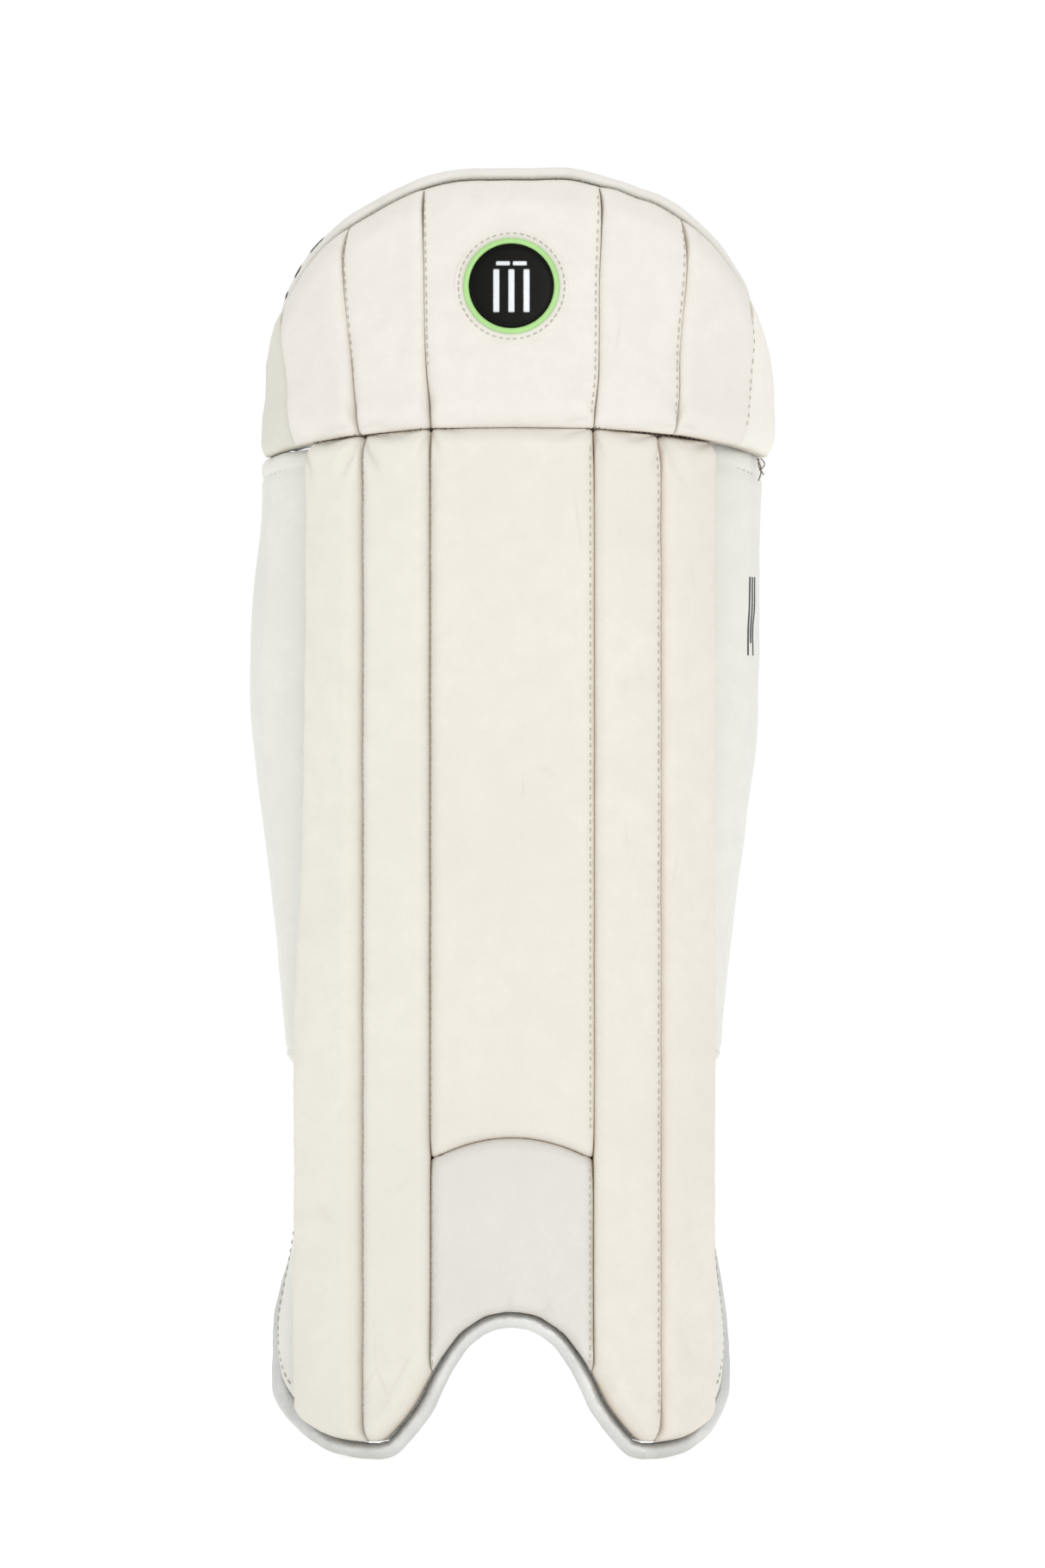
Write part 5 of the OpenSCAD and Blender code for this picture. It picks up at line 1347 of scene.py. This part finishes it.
rest_fn = lambda x, d, z: np.stack([x, 9.05 + d, 322 + z], -1)
pad, _ = cushion("calf_rest_cushion", 69, 299, 14, 8.9, rest_fn, 3.2, M_CUSH, (74, 149.5, 225), seed=811, crown=0.5)
pressure(pad, 4.0, 0.0025, 0.006)
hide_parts("leg_rest_pad"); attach(pad, "shin")
a4 = math.radians(4)
knee_fn = lambda x, d, z: np.stack([x, 6.6 + 55 * LEAN + d * math.cos(a4) + z * math.sin(a4), 548 + z * math.cos(a4) - d * math.sin(a4)], -1)
kc, _ = cushion("knee_cushion_pad", 71, 83, 16, 11.6, knee_fn, 2.8, M_CUSH, (41.5,), nose=8, seed=823, crown=1.4)
pressure(kc, 4.0, 0.003, 0.005)
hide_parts("knee_cushion"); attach(kc, "knee_flap")
n20 = plan_n(1)
for side, sg in (("left", -1), ("right", 1)):
    cx, cy = mixf(S1, S2, 0.5) - n20[0] * 9.05, mixf(0, Y2, 0.5) - n20[1] * 9.05
    zz4 = edge_list(299, 3.0) + 172.5
    a_ = np.linspace(0, math.pi, 17)
    prof = np.stack([11.3 * np.sign(np.cos(a_)) * np.abs(np.cos(a_)) ** 0.7, 10.8 * np.sin(a_) ** 0.7], -1)
    prof = np.vstack([prof, [[x, 0] for x in np.linspace(-11.3, 11.3, 8)[1:-1]]])
    rings = []
    for z in zz4:
        e = min(z - 172.5, 471.5 - z)
        k1 = 0.35 + 0.65 * puff(np.array(e), 9, 0.5)
        k2 = 1 - 0.16 * sum(math.exp(-((z - c) / 2.6) ** 2) for c in (232, 292, 352, 412))
        q = prof * np.array([0.8 + 0.2 * k1, k1 * k2])
        rings.append([[sg * (cx + p[0] * math.cos(math.radians(20)) - p[1] * math.sin(math.radians(20))), cy + p[0] * math.sin(math.radians(20)) + p[1] * math.cos(math.radians(20)), z] for p in q])
    uvb = np.stack(np.broadcast_arrays(np.linspace(0, 60, len(prof))[None, :], zz4[:, None]), -1)
    ob = loft("bolster_roll_" + side, rings, uvb, mats=(M_CUSH,))
    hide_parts("leg_bolster_" + side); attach(ob, "shin")


# ---------------------------------------------------------------- straps
def strap(name, xy, z, width, t, body, reps=(), mat=None, mirror=False, wob=0.0, seed=1, step=2.0):
    """Flat strap on edge along the plan line xy (its middle), with rounded edges; t thick."""
    xy = resample(np.asarray(xy, float), step)
    T = tangents(xy)
    N = np.stack([T[:, 1], -T[:, 0]], -1)
    L = np.concatenate([[0], np.cumsum(np.linalg.norm(np.diff(xy, axis=0), axis=1))])
    sec = rounded_section(width, t, 4)
    rings = np.zeros((len(xy), len(sec), 3))
    rng_ = np.random.default_rng(seed)
    ph_ = rng_.uniform(0, 6.28, 2)
    for i in range(len(xy)):
        e = min(L[i], L[-1] - L[i])
        k_ = min(1.0, 0.86 + 0.14 * e / 1.2)
        dz = wob * math.sin(L[i] * 0.05 + ph_[0])
        ed = 1 + 0.006 * math.sin(L[i] * 1.7 + ph_[1])
        rings[i, :, 0] = xy[i, 0] + N[i, 0] * sec[:, 1]
        rings[i, :, 1] = xy[i, 1] + N[i, 1] * sec[:, 1]
        rings[i, :, 2] = z + dz + sec[:, 0] * k_ * ed
    uv = np.stack(np.broadcast_arrays(L[:, None], sec[None, :, 0]), -1)
    ob = loft(name, rings, uv, mirror=mirror, mats=(mat or M_WEB,))
    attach(ob, body)
    if reps:
        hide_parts(*reps)
    return ob


def sag_line(x0, x1, y, h, n=60):
    x = np.linspace(x0, x1, n)
    xm, Lh = (x0 + x1) / 2, abs(x1 - x0) / 2
    return np.stack([x, y + h * (1 - ((x - xm) / Lh) ** 2)], -1)


def arc_line(r, x0, x1, n=20):
    x = np.linspace(x0, x1, n)
    return np.stack([x, arc_y(x, r)], -1)


def stitch_box(name, line, z, w, off, body, mirror=False, seed=1, cross=True, mat=None):
    """Sewn box with a cross at a strap's root, on the outer face of the plan line."""
    P = resample(np.asarray(line, float), 0.5)
    T = tangents(P); N = np.stack([T[:, 1], -T[:, 0]], -1)
    if N[len(N) // 2, 1] < 0:
        N = -N
    F = P + N * off
    m = len(F)
    a, b = int(m * 0.12), int(m * 0.88)
    h = w / 2 - 3.2
    top = [[*F[i], z + h] for i in range(a, b)]; bot = [[*F[i], z - h] for i in range(b - 1, a - 1, -1)]
    s1 = [[*F[b - 1], q] for q in np.linspace(z + h, z - h, 20)]; s2 = [[*F[a], q] for q in np.linspace(z - h, z + h, 20)]
    loop = np.array(top + s1 + bot + s2)
    nn = np.array([0, 1, 0.0]) if abs(N[m // 2, 1]) > 0.5 else np.array([*N[m // 2], 0.0])
    M = np.array([-1, 1, 1]) if mirror else np.array([1, 1, 1])
    stitches(name, loop * M, np.tile(nn * M, (len(loop), 1)), 2.8, 2.0, 0.3, 0.05, body, mat or M_THREAD, seed, 0.05, 0.12)
    if cross:
        for c, (z0, z1) in enumerate(((z - h, z + h), (z + h, z - h))):
            q = np.array([[*F[a + int((b - 1 - a) * t_)], mixf(z0, z1, t_)] for t_ in np.linspace(0, 1, 30)])
            stitches(name + "_x%d" % (c + 1), q * M, np.tile(nn * M, (30, 1)), 2.8, 2.0, 0.3, 0.05, body, mat or M_THREAD, seed + 7 + c, 0.05, 0.12)


st = 2.2
for tag, z, xr, xt, xe, w in (("upper", UPZ, 94, 86, 111, 38.0), ("lower", LOZ, 83, 76, 98, 38.0)):
    strap(tag + "_strap_band", sag_line(xr - 0.3, -xt + 0.3, 128.6 + st / 2, 15), z, w - 0.3, st, tag + "_strap", (tag + "_calf_strap",), wob=0.0, seed=901)
    strap(tag + "_tip_band", arc_line(95 + 2.5 + st / 2, xt + 0.3, xe), z, w - 0.3, st, tag + "_tip", (tag + "_strap_tip",), mirror=True, seed=903)
    strap(tag + "_tip_hook", arc_line(95 + 2.06, xt + 3, xe - 2), z, w - 6, 0.9, tag + "_tip", (), M_HOOK, mirror=True)
    strap(tag + "_loop_patch", arc_line(95 + 0.78, xt + 3, min(xe - 3, 108)), z, w - 4, 0.85, "left_wing", ("calf_loop_patches",) if tag == "upper" else (), M_LOOP, mirror=True)
    strap(tag + "_anchor_tab", arc_line(95 + 1.78, xr + 0.8, xr + (13 if tag == "upper" else 12)), z, w - 0.3, 2.8, "right_wing", ("calf_strap_anchors",) if tag == "upper" else (), M_STRAPL)
    stitch_box(tag + "_anchor_box", arc_line(95 + 1.78, xr + 0.8, xr + 12), z, w, 1.45, "right_wing", seed=931)
    stitch_box(tag + "_tip_box", arc_line(95 + 2.5 + st / 2, xt + 4, xe - 3), z, w, 1.15, tag + "_tip", mirror=True, seed=947, cross=False)
    stitch_box(tag + "_root_box", sag_line(xr - 0.3, xr - 22, 128.6 + st / 2 + 0.0, 0)[:, :] * np.array([1, 1]) + np.array([[0, 15 * (1 - ((q - (xr - xt) / 2) / ((xr + xt) / 2 - 0.3)) ** 2)] for q in np.linspace(xr - 0.3, xr - 22, 60)]), z, w, 1.15, tag + "_strap", seed=961)
    # turned-down leather pull at the end of the tip
    strap(tag + "_tip_pull", arc_line(95 + 2.5 + st + 0.65, xe - 7, xe - 0.4), z, w - 1.0, 1.0, tag + "_tip", (), M_STRAPL, mirror=True)


def ank(t, o):
    a, b = np.array([91.0, 80.0]), np.array([80.0, 84.0])
    v = unit(b - a)
    return mixf(a, b, t) + np.array([v[1], -v[0]]) * o


aw = 30.0
strap("ankle_strap_webbing", sag_line(84, -79.5, 86.4 + st / 2, 15), ANZ, aw - 0.3, st, "ankle_strap_body", ("ankle_strap",), seed=971)
strap("ankle_anchor_tab", [ank(0, 1.68), ank(0.55, 1.68)], ANZ, aw - 0.3, 2.55, "shin", ("ankle_strap_anchor",), M_STRAPL, step=1.0)
strap("ankle_loop_tape", [ank(0.05, 0.75), ank(0.8, 0.75)], ANZ, aw - 4, 0.8, "shin", ("ankle_loop_patch",), M_LOOP, mirror=True, step=1.0)
strap("ankle_tip_band", [[80.2, 86.4 + st / 2], ank(0.72, 3.5), ank(0.3, 3.5), ank(-0.06, 3.5)], ANZ, aw - 0.3, st, "ankle_tip", ("ankle_strap_tip",), mirror=True, step=1.0)
strap("ankle_tip_hook", [ank(0.68, 2.0), ank(0.06, 2.0)], ANZ, aw - 6, 0.9, "ankle_tip", (), M_HOOK, mirror=True, step=1.0)
xq = np.linspace(82.5, 66, 40)
stitch_box("ankle_root_box", np.stack([xq, 86.4 + st / 2 + 15 * (1 - ((xq - 2.25) / 81.75) ** 2)], -1), ANZ, aw, 1.15, "ankle_strap_body", seed=983)

# ---------------------------------------------------------------- round badge
BZ = 561.0
n4 = np.array([0, -math.cos(a4), math.sin(a4)])
u4 = np.array([0, math.sin(a4), math.cos(a4)])
org = np.array([0, -FLAP + float(kick(BZ)), BZ])


def lathe(name, prof, n, mats, body="knee_flap"):
    """Solid of revolution about the badge axis: prof is (radius, height) pairs from the back centre to the front centre."""
    V = []
    for r, h in prof:
        for a in np.linspace(0, 2 * math.pi, n, endpoint=False):
            V.append(org + n4 * h + r * (math.cos(a) * np.array([1.0, 0, 0]) + math.sin(a) * u4))
    m = len(prof)
    return loft(name, np.array(V).reshape(m, n, 3), None, mats=mats)


fm = M_FLAP
patch = lathe("badge_patch_disc", [(26.8, -0.75), (27.4, -0.3), (27.5, 0.15), (27.2, 0.5), (26.2, 0.68), (25.4, 0.45), (24.8, 0.7), (20, 0.85), (10, 0.85), (3, 0.85)], 96, (M_FLAP,))
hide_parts("badge_patch"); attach(patch, "knee_flap")
th = np.linspace(0, 2 * math.pi, 241)
ring = org + n4 * 0.5 + 25.4 * (np.cos(th)[:, None] * np.array([1.0, 0, 0]) + np.sin(th)[:, None] * u4)
stitches("badge_stitches", ring, np.tile(n4, (241, 1)), 3.3, 2.2, 0.32, 0.05, "knee_flap", M_THREAD, 991, 0.05, 0.15)
rim = lathe("badge_rim_ring", [(20.4, 0.9), (22.9, 0.9), (23.1, 1.4), (23.0, 2.2), (22.6, 2.9), (21.8, 3.25), (20.9, 3.15), (20.35, 2.6), (20.3, 1.6)], 96, (M_LIME,))
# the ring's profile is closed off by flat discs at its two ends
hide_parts("badge_rim"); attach(rim, "knee_flap")
face = lathe("badge_face_disc", [(20.2, 0.9), (20.3, 1.6), (20.1, 2.2), (19.5, 2.55), (17, 2.75), (12, 2.85), (6, 2.88), (1.5, 2.9)], 96, (M_BLACK,))
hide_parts("badge_face"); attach(face, "knee_flap")


def bar(cx, cy, w, h, t, r=0.55):
    """Bevelled bar on the badge face as vertices and faces."""
    lay = [(0.0, 0.0), (t * 0.55, 0.0), (t * 0.85, r * 0.35), (t, r)]
    V, F = [], []
    n = 0
    for hh, ins in lay:
        pts = []
        ww, hh2, rr = w / 2 - ins, h / 2 - ins, max(0.25, 0.7 - ins * 0.5)
        for q, (sx_, sy_) in enumerate(((1, 1), (-1, 1), (-1, -1), (1, -1))):
            for k_ in range(4):
                a = math.radians(90 * q + 30 * k_)
                pts.append((cx + sx_ * (ww - rr) + rr * math.cos(a), cy + sy_ * (hh2 - rr) + rr * math.sin(a)))
        n = len(pts)
        V += [org + n4 * (2.82 + hh) + np.array([1.0, 0, 0]) * x + u4 * y for x, y in pts]
    for i in range(len(lay) - 1):
        F += [[i * n + j, i * n + (j + 1) % n, (i + 1) * n + (j + 1) % n, (i + 1) * n + j] for j in range(n)]
    F.append([j for j in range(n - 1, -1, -1)]); F.append([(len(lay) - 1) * n + j for j in range(n)])
    return V, F


V, F = [], []
for cx, cy, w, h in ((-7.2, -2.5, 3.2, 21), (0, -2.5, 3.2, 21), (7.2, -2.5, 3.2, 21), (-4.0, 10.6, 7, 2.4), (4.0, 10.6, 7, 2.4)):
    v, f_ = bar(cx, cy, w, h, 0.95)
    F += [[i + len(V) for i in q] for q in f_]
    V += v
emb = new_object("badge_wicket", to_world(np.array(V)), F, None, None, False, (M_CHROME,))
import bmesh
bm = bmesh.new(); bm.from_mesh(emb.data); bmesh.ops.recalc_face_normals(bm, faces=bm.faces); bm.to_mesh(emb.data); bm.free()
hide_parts("badge_emblem"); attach(emb, "knee_flap")


# ---------------------------------------------------------------- plain dark dashes printed on the flap edges
BC = binding_path()
BTn = tangents(BC)
Bs = unit(np.cross(BTn, [0, 1, 0])); Bs = Bs * np.sign(Bs[len(Bs) // 2, 2])      # away from the flap's edge
for i, (sg, za, zb_) in enumerate(((-1, 585, 577), (-1, 573, 566), (-1, 561, 556), (-1, 551, 547), (1, 541, 534), (1, 530, 524), (1, 519, 513))):
    k_ = (np.sign(BC[:, 0]) == sg) & (BC[:, 2] < za) & (BC[:, 2] > zb_)
    Pm = BC[k_] + Bs[k_] * 2.62 + np.array([0, -1.0, 0])
    if len(Pm) < 3:
        continue
    ob = sweep("binding_dash_%d" % (i + 1), resample(Pm, 0.8), 0.5, 1.1, 8, (M_PRINT,))[0]
    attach(ob, "knee_flap")

# ---------------------------------------------------------------- stage, light and camera
def stage_and_camera():
    me = bpy.data.meshes.new("studio_floor")
    me.from_pydata([(-14, -14, 0), (14, -14, 0), (14, 14, 0), (-14, 14, 0)], [], [[0, 1, 2, 3]])
    fl = bpy.data.objects.new("studio_floor", me); col.objects.link(fl)
    m = bpy.data.materials.new("floor_white"); m.use_nodes = True
    b = m.node_tree.nodes["Principled BSDF"]
    b.inputs["Base Color"].default_value = (0.82, 0.82, 0.82, 1)
    b.inputs["Roughness"].default_value = 0.9
    b.inputs["Specular IOR Level"].default_value = 0.1
    b.inputs["Emission Color"].default_value = (1, 1, 1, 1)
    b.inputs["Emission Strength"].default_value = 0.42
    me.materials.append(m)
    fl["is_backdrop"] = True
    w = bpy.data.worlds.new("studio_world"); bpy.context.scene.world = w
    w.use_nodes = True
    bg = w.node_tree.nodes["Background"]
    bg.inputs[0].default_value = (1, 1, 1, 1); bg.inputs[1].default_value = 1.0

    def area(name, loc, aim, size, power, colour=(1, 1, 1), size_y=None):
        ld = bpy.data.lights.new(name, "AREA")
        ld.energy = power; ld.color = colour
        ld.shape = "RECTANGLE"; ld.size = size; ld.size_y = size_y or size
        o = bpy.data.objects.new(name, ld); col.objects.link(o)
        from mathutils import Vector
        o.location = loc
        d = Vector(aim) - Vector(loc)
        o.rotation_euler = d.to_track_quat("-Z", "Y").to_euler()
        return o
    area("key_soft", (0.62, -2.9, 0.95), (0, 0, 0.3), 1.1, 11.6, (1.0, 0.99, 0.97))
    area("fill_soft", (1.9, -2.2, 0.7), (0, 0, 0.3), 1.0, 4.6, (1.0, 0.985, 0.97))
    area("left_soft", (-2.1, -1.9, 0.6), (0, 0, 0.3), 1.0, 4.2, (0.985, 0.995, 1.0))
    area("top_soft", (0.0, 0.3, 2.4), (0, 0, 0.4), 1.2, 5)
    cd = bpy.data.cameras.new("cam"); co = bpy.data.objects.new("cam", cd); col.objects.link(co)
    cd.lens = 200; cd.sensor_width = 36; cd.sensor_fit = "AUTO"; cd.clip_end = 60
    co.location = (0.0053, -4.227, 0.3228)
    co.rotation_euler = (math.radians(90), 0, 0)
    bpy.context.scene.camera = co
    bpy.context.scene.view_settings.view_transform = "Standard"
    bpy.context.scene.view_settings.look = "None"
    bpy.context.scene.view_settings.exposure = 0.0


stage_and_camera()

# ---------------------------------------------------------------- materials of the CAD nodes that stay
def give(nodes, mat):
    for n in nodes:
        o = bpy.data.objects.get(n)
        if o is None:
            continue
        if not o.material_slots:
            o.data.materials.append(mat)
        for s in o.material_slots:
            s.material = mat


give(["cane_rods"], M_CANE)
give(["backing_board", "flap_board"], M_BOARD)
box2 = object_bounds()
def plain(b):
    return json.loads(json.dumps(b, default=lambda q: [list(map(float, r)) if hasattr(r, "__len__") else float(r) for r in q]))
{"cad": plain(CAD_BOX), "visual": plain(box2)}
